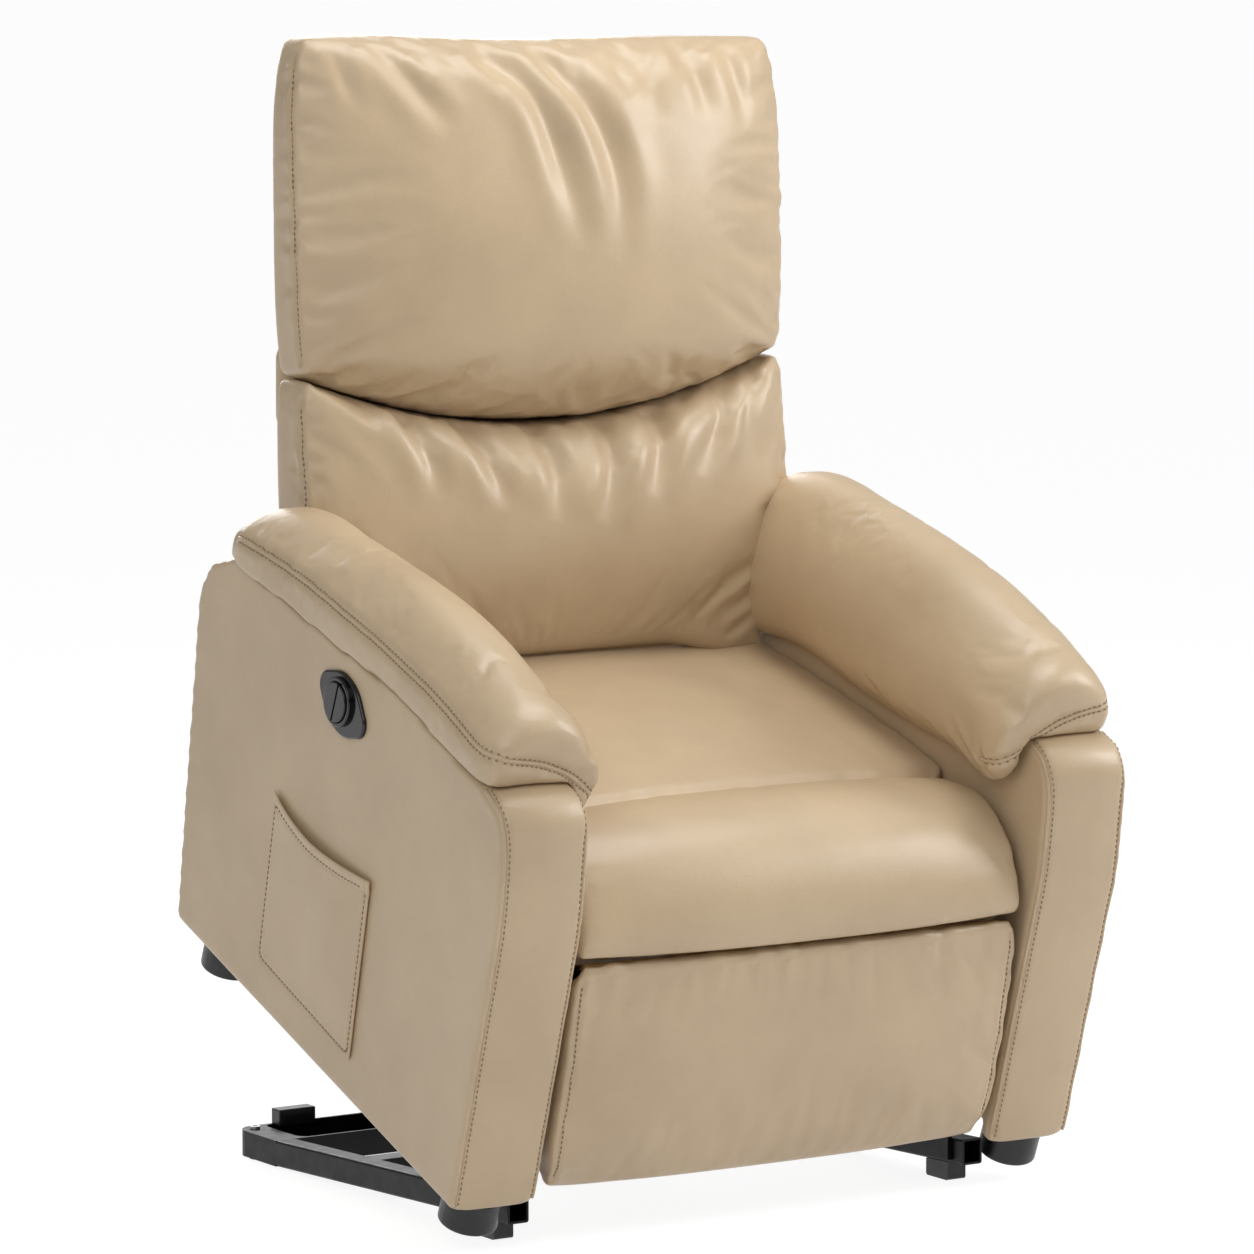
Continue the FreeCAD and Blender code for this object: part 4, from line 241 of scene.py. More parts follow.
def weighed(obj, name, weights):
    """Name of a new vertex group with the weights, rounded to tenths."""
    group = obj.vertex_groups.new(name=name)
    steps = np.round(weights, 1)
    for value in np.unique(steps):
        if value > 0:
            group.add(np.nonzero(steps == value)[0].tolist(), float(value), "REPLACE")
    return group.name


def even_quads(obj, place, voxel, rounds=4):
    """Even quads over the form, laid square to the given axes and relaxed so that edges are soft."""
    obj.data.materials.clear()
    obj.data.transform(place.inverted())
    remesh = obj.modifiers.new("Even quads", "REMESH")
    remesh.mode = "VOXEL"
    remesh.voxel_size = voxel * MM
    relax = obj.modifiers.new("Soft edges", "SMOOTH")
    relax.factor = 0.5
    relax.iterations = rounds
    bake_modifiers(obj)
    obj.data.transform(place)
    shade_smooth(obj)
    return obj


def joined(name, nodes):
    """Several CAD nodes' forms in one mesh."""
    vertices, faces = [], []
    for node in nodes:
        mesh = NODES[node].data
        first = len(vertices)
        vertices.extend(v.co[:] for v in mesh.vertices)
        faces.extend(tuple(first + i for i in p.vertices) for p in mesh.polygons)
    return mesh_from(name, vertices, faces)


def refined(obj):
    """Finer surface for seams and folds, baked."""
    sub = obj.modifiers.new("Fine surface", "SUBSURF")
    sub.levels = 1
    return bake_modifiers(obj)


def surface_tree(obj):
    """Search tree of the object's surface."""
    bpy.context.view_layer.update()
    return BVHTree.FromObject(obj, bpy.context.evaluated_depsgraph_get())


def on_surface(obj, line):
    """The line laid on the object's surface and drawn smooth along it."""
    tree = surface_tree(obj)
    laid = np.array(line, float)
    for _ in range(LAY_ROUNDS):
        laid = np.array([tree.find_nearest(Vector(p))[0] for p in evened(laid)])
    return laid


def row_on(tree, line, side=0.0):
    """Spots, ways and normals of a row laid side millimetres off a line on a surface."""
    spots, facing = [], []
    for i in range(1, len(line) - 1):
        way = Vector(line[i + 1] - line[i - 1]).normalized()
        spot, normal, _, _ = tree.find_nearest(Vector(line[i]))
        spot, normal, _, _ = tree.find_nearest(spot + normal.cross(way) * side * MM)
        spots.append(spot)
        facing.append(normal)
    facing = evened(facing)
    facing /= np.linalg.norm(facing, axis=1, keepdims=True)
    spots = np.array([tree.find_nearest(Vector(p))[0] for p in evened(spots)])
    ways = np.gradient(spots, axis=0)
    ways -= facing * np.sum(ways * facing, axis=1, keepdims=True)
    ways /= np.linalg.norm(ways, axis=1, keepdims=True)
    return spots, ways, facing


# Forms pressed into a surface

# In widths of a groove or a fold: how far off its lip or ridge stands, and how wide that is
LIP_AWAY = 2.4
LIP_WIDTH = 1.3
RIDGE_AWAY = 1.9
RIDGE_WIDTH = 1.1
RIDGE_SHARE = 0.55
FOLD_REACH = 4.0
FOLD_FADE = 0.5
GATHER_START = 5.0
GATHER_DRIFT = 0.15
RIPPLE_WAVES = 7


def bulge(obj, place, shift):
    """Move points by shift(flat) millimetres, where flat and the shift are both in the given axes."""
    co = read(obj)
    turn = np.array(place, float)[:3, :3]
    write(obj, co + shift(local(place, co)) @ turn.T * MM)


def relax_zone(obj, place, share, rounds):
    """Smooth the part of the surface where share(flat) is above 0."""
    relax = obj.modifiers.new("Eased zone", "SMOOTH")
    relax.factor = 0.6
    relax.iterations = rounds
    relax.vertex_group = weighed(obj, "zone", share(local(place, read(obj))))
    bake_modifiers(obj)
    obj.vertex_groups.clear()


def groove(obj, line, width, depth, lip=0.3):
    """Sewn groove along the line, with the cover standing a little proud on both sides of it."""
    co = read(obj)
    away, _ = near_line(co, line)
    push = lip * bell(away - LIP_AWAY * width, LIP_WIDTH * width) - bell(away, width)
    push_out(obj, co, depth * MM * push)


def gathers(obj, line, reach, height, pitch, seed, keep=None):
    """Puckers that run out from a seam and fade over reach millimetres."""
    co = read(obj)
    away, place = near_line(co, line)
    fade = np.exp(-(away / reach) ** 1.5) * smoothstep(0.0, GATHER_START, away)
    drift = place + away * GATHER_DRIFT * waves(place, pitch * 6, seed + 1)
    push = height * fade * waves(drift, pitch, seed)
    if keep is not None:
        push = push * keep(co)
    push_out(obj, co, push * MM)


def fold(obj, place, path, width, depth, front):
    """Valley fold with a ridge on each side, along (x, up) points, shallower towards the path's end."""
    co = read(obj)
    flat = local(place, co)
    line = smooth_line([(x, up, 0) for x, up in path], LINE_STEP / MM)
    tree = line_tree(line)
    push = np.zeros(len(co))
    seen = front(flat)
    for i in np.nonzero(seen > 0)[0]:
        _, index, away = tree.find(Vector((flat[i, 0], flat[i, 1], 0)))
        if away <= FOLD_REACH * width:
            end = min(1.0, (1.0 - index / (len(line) - 1)) / FOLD_FADE)
            ridge = RIDGE_SHARE * bell(away - RIDGE_AWAY * width, RIDGE_WIDTH * width)
            push[i] = seen[i] * end * depth * (ridge - bell(away, width))
    push_out(obj, co, push * MM)


def ripple(obj, height, size, seed):
    """Low uneven swell all over a padded surface."""
    rng = np.random.default_rng(seed)
    co = read(obj)
    push = np.zeros(len(co))
    for _ in range(RIPPLE_WAVES):
        way = rng.normal(size=3)
        way /= np.linalg.norm(way)
        wave = size * rng.uniform(0.7, 1.6) * MM
        phase = rng.uniform(0, 6.28)
        push += np.sin(co @ way * 2 * math.pi / wave + phase) / RIPPLE_WAVES
    push_out(obj, co, push * height * MM)


# Cloth

CLOTH_FRAMES = 20
CLOTH_SETTINGS = {
    "quality": 4, "mass": 0.3, "tension_stiffness": 30, "compression_stiffness": 20,
    "shear_stiffness": 10, "bending_stiffness": 0.6, "use_pressure": True,
}
NO_MOVE = 1e-9


def inflate(obj, hold, pressure, cap, slack):
    """Short cloth run that fills out a cover, each point by at most cap millimetres.

    hold(co) gives 1 where the cover is sewn down and 0 where it is free.
    """
    start = read(obj)
    sewn = weighed(obj, "sewn", np.clip(hold(start), 0.0, 1.0))
    cloth = obj.modifiers.new("Cover", "CLOTH")
    for name, value in CLOTH_SETTINGS.items():
        setattr(cloth.settings, name, value)
    cloth.settings.uniform_pressure_force = pressure
    cloth.settings.shrink_min = -slack
    cloth.settings.vertex_group_mass = sewn
    cloth.settings.effector_weights.gravity = 0
    cloth.collision_settings.use_collision = False
    cloth.point_cache.frame_start = 1
    cloth.point_cache.frame_end = CLOTH_FRAMES
    scene = bpy.context.scene
    for number in range(1, CLOTH_FRAMES + 1):
        scene.frame_set(number)
    bpy.context.view_layer.update()
    ready = obj.evaluated_get(bpy.context.evaluated_depsgraph_get())
    moved = np.empty(len(start) * 3)
    ready.data.vertices.foreach_get("co", moved)
    shift = moved.reshape(-1, 3) - start
    far = np.maximum(np.linalg.norm(shift, axis=1), NO_MOVE)
    limit = cap * MM
    kept = limit * np.tanh(far / limit) / far
    obj.modifiers.clear()
    obj.vertex_groups.clear()
    write(obj, start + shift * kept[:, None])
    scene.frame_set(1)


# Materials

def srgb(r, g, b):
    """Linear colour of an sRGB colour given in 0 to 255."""
    def linear(c):
        c = c / 255
        return c / 12.92 if c <= 0.04045 else ((c + 0.055) / 1.055) ** 2.4
    return (linear(r), linear(g), linear(b), 1.0)


LEATHER = srgb(200, 177, 144)
LEATHER_DARK = srgb(188, 165, 134)
THREAD = srgb(136, 111, 79)
THREAD_PALE = srgb(146, 120, 88)
BLACK = srgb(14, 14, 15)
WHITE = (1.0, 1.0, 1.0, 1.0)


class Nodes:
    """Short way to add and join shader nodes."""

    SOCKETS = {
        "color": "Base Color", "roughness": "Roughness", "normal": "Normal", "metallic": "Metallic",
        "coat": "Coat Weight", "coat_roughness": "Coat Roughness", "sheen": "Sheen Weight",
        "specular": "Specular IOR Level",
    }

    def __init__(self, name):
        self.material = bpy.data.materials.new(name)
        self.material.use_nodes = True
        self.tree = self.material.node_tree
        self.shader = self.tree.nodes["Principled BSDF"]
        coordinates = self.tree.nodes.new("ShaderNodeTexCoord")
        self.place = coordinates.outputs["Object"]

    def feed(self, socket, value):
        """Give an input another node's output or a plain value."""
        if isinstance(value, bpy.types.NodeSocket):
            self.tree.links.new(value, socket)
        else:
            socket.default_value = value

    def add(self, kind, inputs=(), **settings):
        node = self.tree.nodes.new("ShaderNode" + kind)
        for key, value in settings.items():
            setattr(node, key, value)
        for key, value in dict(inputs).items():
            self.feed(node.inputs[key], value)
        return node

    def noise(self, scale, detail=3.0, roughness=0.5, place=None):
        return self.add("TexNoise", {
            "Vector": place or self.place, "Scale": scale, "Detail": detail, "Roughness": roughness,
        }).outputs["Fac"]

    def cell_edges(self, scale):
        return self.add("TexVoronoi", {"Vector": self.place, "Scale": scale},
                        feature="DISTANCE_TO_EDGE").outputs["Distance"]

    def bands(self, scale, distortion, direction):
        return self.add("TexWave", {"Vector": self.place, "Scale": scale, "Distortion": distortion},
                        wave_type="BANDS", bands_direction=direction).outputs["Fac"]

    def stretched(self, scale):
        return self.add("Mapping", {"Vector": self.place, "Scale": scale}).outputs[0]

    def range(self, value, span, to=(0.0, 1.0)):
        return self.add("MapRange", {
            "Value": value, "From Min": span[0], "From Max": span[1], "To Min": to[0], "To Max": to[1],
        }).outputs["Result"]

    def mix(self, fac, first, second):
        node = self.add("Mix", {0: fac, 6: first, 7: second}, data_type="RGBA")
        return node.outputs[2]

    def math(self, operation, first, second):
        return self.add("Math", {0: first, 1: second}, operation=operation).outputs[0]

    def bump(self, height, distance, strength, normal=None):
        inputs = {"Height": height, "Distance": distance, "Strength": strength}
        if normal is not None:
            inputs["Normal"] = normal
        return self.add("Bump", inputs).outputs["Normal"]

    def set(self, **values):
        for key, value in values.items():
            self.feed(self.shader.inputs[self.SOCKETS[key]], value)
        return self.material


def leather_material(name, color, dark):
    """Smooth coated leather: fine pebble grain, pores, slow colour drift and small surface waves."""
    n = Nodes(name)
    pebble = n.range(n.cell_edges(620.0), (0.0, 0.35))
    fine = n.noise(1500.0, detail=2.0)
    drift = n.range(n.noise(7.0, detail=4.0, roughness=0.6), (0.35, 0.7))
    pores = n.range(pebble, (0.0, 0.25), to=(0.35, 0.0))
    tone = n.mix(pores, n.mix(drift, color, dark), dark)
    rough = n.range(n.noise(26.0, detail=5.0, roughness=0.6), (0.3, 0.7), to=(0.31, 0.4))
    grain = n.math("ADD", n.math("MULTIPLY", pebble, 0.8), n.math("MULTIPLY", fine, 0.4))
    soft = n.bump(n.noise(30.0), distance=0.0016, strength=0.22)
    normal = n.bump(grain, distance=0.00022, strength=0.55, normal=soft)
    return n.set(color=tone, roughness=rough, normal=normal, specular=0.5, coat=0.18,
                 coat_roughness=0.24)


def thread_material():
    """Twisted thread, a little uneven in tone."""
    n = Nodes("Sewing thread")
    twist = n.bands(900.0, distortion=2.0, direction="DIAGONAL")
    tone = n.mix(n.range(n.noise(400.0), (0.3, 0.7)), THREAD, THREAD_PALE)
    return n.set(color=tone, roughness=0.55, sheen=0.2, normal=n.bump(twist, distance=0.0002, strength=0.6))


def coated_steel(name, color):
    """Black powder coat with a faint orange peel and paler rubbed spots."""
    n = Nodes(name)
    peel = n.noise(420.0, detail=2.0)
    rub = n.range(n.noise(30.0, detail=6.0, roughness=0.7), (0.55, 0.75))
    tone = n.mix(n.math("MULTIPLY", rub, 0.5), color, srgb(30, 30, 32))
    rough = n.range(n.noise(60.0, detail=4.0), (0.3, 0.7), to=(0.3, 0.45))
    return n.set(color=tone, roughness=rough, metallic=0.05, specular=0.24,
                 normal=n.bump(peel, distance=0.00025, strength=0.5))


def moulded_plastic(name, color, roughness, texture):
    """Plastic with a fine spark texture and paler worn spots."""
    n = Nodes(name)
    spark = n.noise(1300.0, detail=2.0)
    wear = n.range(n.noise(18.0, detail=6.0, roughness=0.7), (0.5, 0.8), to=(0.0, 0.35))
    tone = n.mix(wear, color, srgb(70, 70, 72))
    rough = n.range(n.noise(90.0), (0.3, 0.7), to=roughness)
    return n.set(color=tone, roughness=rough, normal=n.bump(spark, distance=texture, strength=0.5))


def bare_metal(name, color, roughness):
    """Metal brushed along X, with duller patches."""
    n = Nodes(name)
    brushed = n.noise(60.0, detail=4.0, place=n.stretched((1.0, 40.0, 40.0)))
    dull = n.range(n.noise(40.0, detail=5.0), (0.4, 0.7), to=(0.0, 0.6))
    tone = n.mix(dull, color, srgb(120, 118, 112))
    rough = n.range(brushed, (0.3, 0.7), to=(roughness - 0.08, roughness + 0.12))
    return n.set(color=tone, roughness=rough, metallic=1.0,
                 normal=n.bump(brushed, distance=0.00008, strength=0.4))


def timber_material():
    """Pale board with long grain along X."""
    n = Nodes("Pale timber")
    grain = n.noise(12.0, detail=8.0, roughness=0.65, place=n.stretched((1.2, 14.0, 14.0)))
    tone = n.mix(n.range(grain, (0.35, 0.65)), srgb(206, 172, 122), srgb(158, 118, 72))
    return n.set(color=tone, roughness=n.range(grain, (0.3, 0.7), to=(0.55, 0.75)),
                 normal=n.bump(grain, distance=0.0006, strength=0.5))


def woven_material(name, color, pale):
    """Plain weave cloth in the object's own coordinates."""
    n = Nodes(name)
    warp = n.bands(260.0, distortion=0.4, direction="X")
    weft = n.bands(260.0, distortion=0.4, direction="Z")
    weave = n.math("MAXIMUM", warp, weft)
    fuzz = n.noise(700.0)
    tone = n.mix(n.math("MULTIPLY", weave, fuzz), color, pale)
    return n.set(color=tone, roughness=0.92, sheen=0.3, normal=n.bump(weave, distance=0.0003, strength=0.7))


MATERIALS = {
    "leather": leather_material("Beige leather", LEATHER, LEATHER_DARK),
    "thread": thread_material(),
    "black_steel": coated_steel("Black coated steel", BLACK),
    "zinc_steel": bare_metal("Zinc plated steel", srgb(196, 196, 190), roughness=0.35),
    "aluminium_tube": bare_metal("Anodised tube", srgb(205, 206, 208), roughness=0.3),
    "black_plastic": moulded_plastic("Black moulded plastic", BLACK, roughness=(0.3, 0.42), texture=0.0002),
    "switch_gloss": moulded_plastic("Black gloss plastic", BLACK, roughness=(0.1, 0.18), texture=0.00003),
    "timber": timber_material(),
    "rear_cloth": woven_material("Black woven cloth", srgb(24, 24, 25), srgb(56, 56, 58)),
}


def dressed(obj, material):
    """Give the object one material alone."""
    obj.data.materials.clear()
    obj.data.materials.append(MATERIALS[material])


ROUNDED_SLOTS = ("black_steel", "black_plastic")
EDGE_ROUND = 0.6
EDGE_ANGLE = math.radians(50.0)


def dress_rigid_nodes():
    """The record's slot of each rigid node picks its material; a small bevel softens its edges."""
    for row in frame["record"]["subparts"]:
        obj = NODES[row["node"]]
        if obj.hide_render or row["material_slot"] not in MATERIALS:
            continue
        dressed(obj, row["material_slot"])
        if row["material_slot"] in ROUNDED_SLOTS:
            rounding = obj.modifiers.new("Broken edges", "BEVEL")
            rounding.width = EDGE_ROUND * MM
            rounding.segments = 2
            rounding.limit_method = "ANGLE"
            rounding.angle_limit = EDGE_ANGLE


# Sewing

STITCH_PITCH = 6.0
STITCH_LENGTH = 3.8
STITCH_RADIUS = 0.85
STITCH_SIDES = 6
# Shares of the half length and of the radius at each ring of a stitch
STITCH_RINGS = ((-0.8, 0.7), (0.0, 1.0), (0.8, 0.7))
STITCH_STAND = 0.25
SEAM_ROW = 5.0
WELT_SIDES = 10
WELT_STAND = 0.1


def circle(sides):
    """Cosine and sine of evenly spaced turns."""
    turns = [2 * math.pi * i / sides for i in range(sides)]
    return [(math.cos(turn), math.sin(turn)) for turn in turns]


def stitch_shape():
    """One stitch along X, rounded off at both ends."""
    half = STITCH_LENGTH / 2
    vertices = [(-half, 0.0, 0.0)]
    for along, share in STITCH_RINGS:
        radius = STITCH_RADIUS * share
        vertices.extend((half * along, radius * c, radius * s) for c, s in circle(STITCH_SIDES))
    vertices.append((half, 0.0, 0.0))
    last = len(vertices) - 1
    faces = []
    for i in range(STITCH_SIDES):
        j = (i + 1) % STITCH_SIDES
        faces.append((0, 1 + j, 1 + i))
        for ring in range(len(STITCH_RINGS) - 1):
            a = 1 + ring * STITCH_SIDES
            b = a + STITCH_SIDES
            faces.append((a + i, a + j, b + j, b + i))
        top = last - STITCH_SIDES
        faces.append((top + i, top + j, last))
    return np.array(vertices), faces


def trim(name, vertices, faces, material, body):
    """Sewn trim as one smooth piece that rides on the body."""
    obj = mesh_from(name, vertices, faces)
    shade_smooth(obj)
    dressed(obj, material)
    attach(obj, body)


def stitches(name, host, lines, body, side=0.0):
    """Rows of thread stitches laid on the host's surface, side millimetres off each line."""
    shape, faces = stitch_shape()
    tree = surface_tree(host)
    step = int(STITCH_PITCH / LINE_STEP)
    vertices, all_faces = [], []
    for line in lines:
        spots, ways, facing = row_on(tree, line, side)
        for i in range(step, len(spots) - step, step):
            turn = np.stack([ways[i], np.cross(facing[i], ways[i]), facing[i]])
            first = len(vertices)
            vertices.extend(shape @ turn * MM + spots[i] + facing[i] * STITCH_RADIUS * STITCH_STAND * MM)
            all_faces.extend(tuple(first + v for v in face) for face in faces)
    trim(name, vertices, all_faces, "thread", body)


def welt(name, host, lines, body, half_width, height):
    """Raised sewn edge laid along each line: an oval cord of leather bedded in the surface."""
    tree = surface_tree(host)
    vertices, faces = [], []
    for line in lines:
        before = None
        for spot, way, normal in zip(*row_on(tree, line)):
            across = np.cross(normal, way) * half_width * MM
            rise = normal * height * MM
            first = len(vertices)
            vertices.extend(spot + across * c + rise * (s + WELT_STAND) for c, s in circle(WELT_SIDES))
            if before is None:
                faces.append(tuple(first + k for k in reversed(range(WELT_SIDES))))
            else:
                for k in range(WELT_SIDES):
                    j = (k + 1) % WELT_SIDES
                    faces.append((before + k, before + j, first + j, first + k))
            before = first
        faces.append(tuple(before + k for k in range(WELT_SIDES)))
    trim(name, vertices, faces, "leather", body)


def settle(obj, body, nodes):
    """Finish of a soft piece: its leather, what it rides on and what it stands for."""
    dressed(obj, "leather")
    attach(obj, body)
    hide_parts(*nodes)


# Arms

# (y, z) of the arm's front edge, from its foot up to the pad
BAND_PATH = ((-8, 2), (-2, 80), (5, 161), (11, 240), (17, 312), (30, 372), (41, 402), (60, 423), (95, 433))
# The pad's seam, from its rear along the outside, round the nose and back on the inside
PAD_SEAM = (
    (386, 618, 446), (386, 560, 457), (386, 475, 468), (386, 400, 473), (386, 315, 478), (386, 208, 478),
    (386, 140, 472), (384, 112, 469), (372, 94, 468), (350, 86, 467), (325, 82, 462), (300, 82, 452),
    (280, 84, 440), (262, 90, 424), (250, 102, 408), (245, 118, 398),
)
PAD_ROW = 4.0
NOSE_LEAN = 13.0


def arm_body(side, tag):
    """Upholstered arm: outer panel, inner panel and front band sewn over the arm's core."""
    nodes = ["arm_%s_%s" % (part, tag) for part in ("outer_panel", "inner_panel", "front_band", "core")]
    arm = refined(even_quads(joined("arm_body_" + tag, nodes), CHAIR, voxel=5.0, rounds=5))
    outer, inner = [chair_line([(side * x, y, z) for y, z in BAND_PATH]) for x in (ARM_OUTER_X, ARM_INNER_X)]
    ripple(arm, height=0.4, size=190.0, seed=11 + side)
    for number, line in enumerate((outer, inner)):
        gathers(arm, line, reach=20.0, height=0.35, pitch=46.0, seed=21 + number)
        groove(arm, line, width=4.0, depth=1.6)
    settle(arm, "seat_unit", nodes)
    laid = [on_surface(arm, line) for line in (outer, inner)]
    welt("arm_welts_" + tag, arm, laid, "seat_unit", half_width=2.5, height=2.3)
    stitches("arm_seam_outer_" + tag, arm, [outer], "seat_unit", side=side * SEAM_ROW)
    stitches("arm_seam_inner_" + tag, arm, [inner], "seat_unit", side=-side * SEAM_ROW)


def nose_lean(flat):
    """The nose of the sitter's left pad leans in towards the seat."""
    return moves(x=-NOSE_LEAN * smoothstep(190.0, 40.0, flat[:, 1]))


def arm_pad(side, tag):
    """Stuffed arm pad with a stitched seam, gathered below it and round the nose."""
    node = "arm_pad_" + tag
    pad = even_quads(joined("arm_pad_cover_" + tag, [node]), CHAIR, voxel=5.0)
    if side > 0:
        bulge(pad, CHAIR, nose_lean)
    drawn = chair_line(sided(PAD_SEAM, side))

    def hold(co):
        """Sewn down underneath, at its outer lower edge and along its seam."""
        x, _, z = local(CHAIR, co).T
        under = within((z, 448.0, 436.0), (x * side, 276.0, 284.0))
        edge = within((z, 440.0, 432.0), (x * side, 360.0, 380.0))
        return np.maximum.reduce([under, edge, bell(near_line(co, drawn)[0], 7.0)])

    def below(co):
        """Puckers are strong at the pad's rear and round its nose, and weak above the seam."""
        x, y, z = local(CHAIR, co).T
        rear = smoothstep(360.0, 440.0, y)
        nose = within((x * side, 300.0, 262.0), (y, 130.0, 100.0))
        return (0.25 + 0.75 * np.maximum(rear, nose)) * (0.3 + 0.7 * smoothstep(480.0, 460.0, z))

    inflate(pad, hold, pressure=2.5, cap=8.0, slack=0.004)
    refined(pad)
    seam = on_surface(pad, drawn)
    gathers(pad, seam, reach=16.0, height=2.6, pitch=26.0, seed=41 + side, keep=below)
    groove(pad, seam, width=5.0, depth=2.0)
    settle(pad, "seat_unit", [node])
    laid = [on_surface(pad, seam)]
    welt("arm_pad_welt_" + tag, pad, laid, "seat_unit", half_width=2.4, height=1.5)
    stitches("arm_pad_row_lower_" + tag, pad, laid, "seat_unit", side=-PAD_ROW)
    stitches("arm_pad_row_upper_" + tag, pad, laid, "seat_unit", side=PAD_ROW)


# Seat

CHANNEL_Y = 198.0
CHANNEL_Z = 343.0
ROLL_EDGE = ((257, 12, 280), (257, 26, 312), (257, 60, 344), (257, 118, 360))
SEAT_FLARE = 17.0
SEAT_RISE = 8.0
ROLL_FLARE = 9.0


def seat_flare(flat):
    """Behind the channel the cover spreads out to the arms and rises there; the roll's sides stand out."""
    x, y, _ = flat.T
    away = np.abs(x)
    out = SEAT_FLARE * within((away, 236.0, 262.0), (y, 192.0, 214.0))
    out += ROLL_FLARE * within((away, 226.0, 262.0), (y, 170.0, 130.0))
    return moves(x=np.sign(x) * out, z=SEAT_RISE * within((y, 192.0, 230.0), (away, 200.0, 262.0)))


def seat():
    """Seat and front roll in one cover, sewn together along a channel."""
    cover = even_quads(joined("seat_cover", ["seat_cushion"]), CHAIR, voxel=6.0, rounds=5)
    bulge(cover, CHAIR, seat_flare)
    channel = on_surface(cover, chair_line([(x, CHANNEL_Y, CHANNEL_Z) for x in range(-255, 256, 30)]))

    def hold(co):
        """Sewn down underneath, along the channel, at the rear and at both sides."""
        x, y, z = local(CHAIR, co).T
        return np.maximum.reduce([
            smoothstep(280.0, 268.0, z), bell(near_line(co, channel)[0], 9.0),
            smoothstep(552.0, 568.0, y), smoothstep(256.0, 261.0, np.abs(x)),
        ])

    inflate(cover, hold, pressure=2.5, cap=10.0, slack=0.0)
    refined(cover)
    gathers(cover, channel, reach=26.0, height=1.0, pitch=46.0, seed=61)
    groove(cover, channel, width=9.0, depth=6.0, lip=0.0)
    for side in (-1, 1):
        edge = on_surface(cover, chair_line(sided(ROLL_EDGE, side)))
        gathers(cover, edge, reach=26.0, height=1.1, pitch=36.0, seed=63 + side)
    settle(cover, "seat_unit", ["seat_cushion"])


# Footrest

PANEL_TOP_Y = 10.0
PANEL_TOP_Z = 250.0
PANEL_EDGE = ((268, -2, 246), (269, -16, 150), (269, -22, 60), (268, -14, 14))
PANEL_SWELL = 8.0


def panel_swell(flat):
    """Both sides of the footrest panel stand out between its corners."""
    x, _, z = flat.T
    out = PANEL_SWELL * within((np.abs(x), 214.0, 262.0), (z, 4.0, 70.0), (z, 262.0, 230.0))
    return moves(x=np.sign(x) * out)


def footrest():
    """Padded leg panel, gathered where its top meets the roll."""
    pad = even_quads(joined("footrest_cover", ["footrest_pad"]), CHAIR, voxel=5.0)
    bulge(pad, CHAIR, panel_swell)

    def hold(co):
        """Sewn down at the board, at its top and foot and at both sides."""
        x, y, z = local(CHAIR, co).T
        return np.maximum.reduce([
            smoothstep(8.0, 16.0, y), smoothstep(248.0, 255.0, z),
            smoothstep(20.0, 12.0, z), smoothstep(257.0, 266.0, np.abs(x)),
        ])

    inflate(pad, hold, pressure=2.0, cap=8.0, slack=0.006)
    refined(pad)
    top = on_surface(pad, chair_line([(x, PANEL_TOP_Y, PANEL_TOP_Z) for x in range(-258, 259, 20)]))
    gathers(pad, top, reach=34.0, height=2.0, pitch=42.0, seed=71)
    seams = []
    for number, side in enumerate((-1, 1)):
        seam = on_surface(pad, chair_line(sided(PANEL_EDGE, side)))
        gathers(pad, seam, reach=26.0, height=1.2, pitch=50.0, seed=75 + number)
        groove(pad, seam, width=2.4, depth=2.4)
        seams.append(seam)
    settle(pad, "footrest", ["footrest_pad"])
    stitches("footrest_seams", pad, seams, "footrest")


# Back

FRONT_HALF_WIDTH = 287.0
HEADREST_EDGE = ((296, 352, 40), (306, 440, 40), (307, 540, 36), (300, 620, 31), (288, 666, 27))
LUMBAR_EDGE = ((292, 196, 52), (299, 231, 50), (300, 272, 46), (294, 313, 42))
# Each fold: (x, up) points of its path from the cushion's edge inwards, its width and its depth
HEADREST_FOLDS = (
    (((-203, 672), (-170, 629), (-139, 588)), 13.0, 4.6),
    (((-84, 672), (-38, 626), (-13, 540), (11, 461)), 15.0, 6.4),
    (((-12, 674), (33, 603), (54, 529), (48, 447)), 16.0, 7.2),
    (((-262, 674), (-250, 640), (-240, 610)), 9.0, 2.5),
    (((96, 680), (108, 640), (116, 590)), 13.0, 3.0),
    (((168, 676), (176, 640), (184, 590)), 12.0, 3.5),
    (((226, 670), (232, 630), (240, 580)), 11.0, 3.0),
)
LUMBAR_FOLDS = (
    (((-185, 286), (-170, 247), (-164, 204)), 12.0, 6.0),
    (((-112, 278), (-96, 232), (-84, 189)), 13.0, 7.0),
    (((-25, 272), (-20, 228), (-26, 175)), 13.0, 6.5),
    (((57, 270), (50, 224), (30, 171)), 13.0, 7.0),
    (((127, 280), (114, 241), (95, 196)), 13.0, 7.0),
    (((217, 297), (192, 259), (160, 214)), 13.0, 6.0),
    (((256, 310), (238, 280), (224, 240)), 10.0, 4.0),
    (((246, 78), (228, 66), (206, 60)), 7.0, 2.6),
    (((246, 52), (226, 38), (208, 30)), 6.0, 2.2),
    (((-246, 84), (-226, 70), (-204, 66)), 7.0, 2.4),
)
CORNER_LIFT = 14.0
FOOT_SPREAD = 36.0
FOOT_DROP = 20.0
WING_SPREAD = 24.0
WING_DROP = 24.0
WING_FILL = 36.0
# The solid's cut for the arm pads: how far out it starts at WING_LOW, and how that grows upwards
WING_LOW = 196.0
WING_CUT = 36.0
WING_CUT_SLOPE = 0.49
# The front that the filled wings reach, and how it falls back upwards and towards the sides
WING_FRONT = 75.0
WING_FRONT_SLOPE = 0.13
WING_FRONT_TURN = 10.0


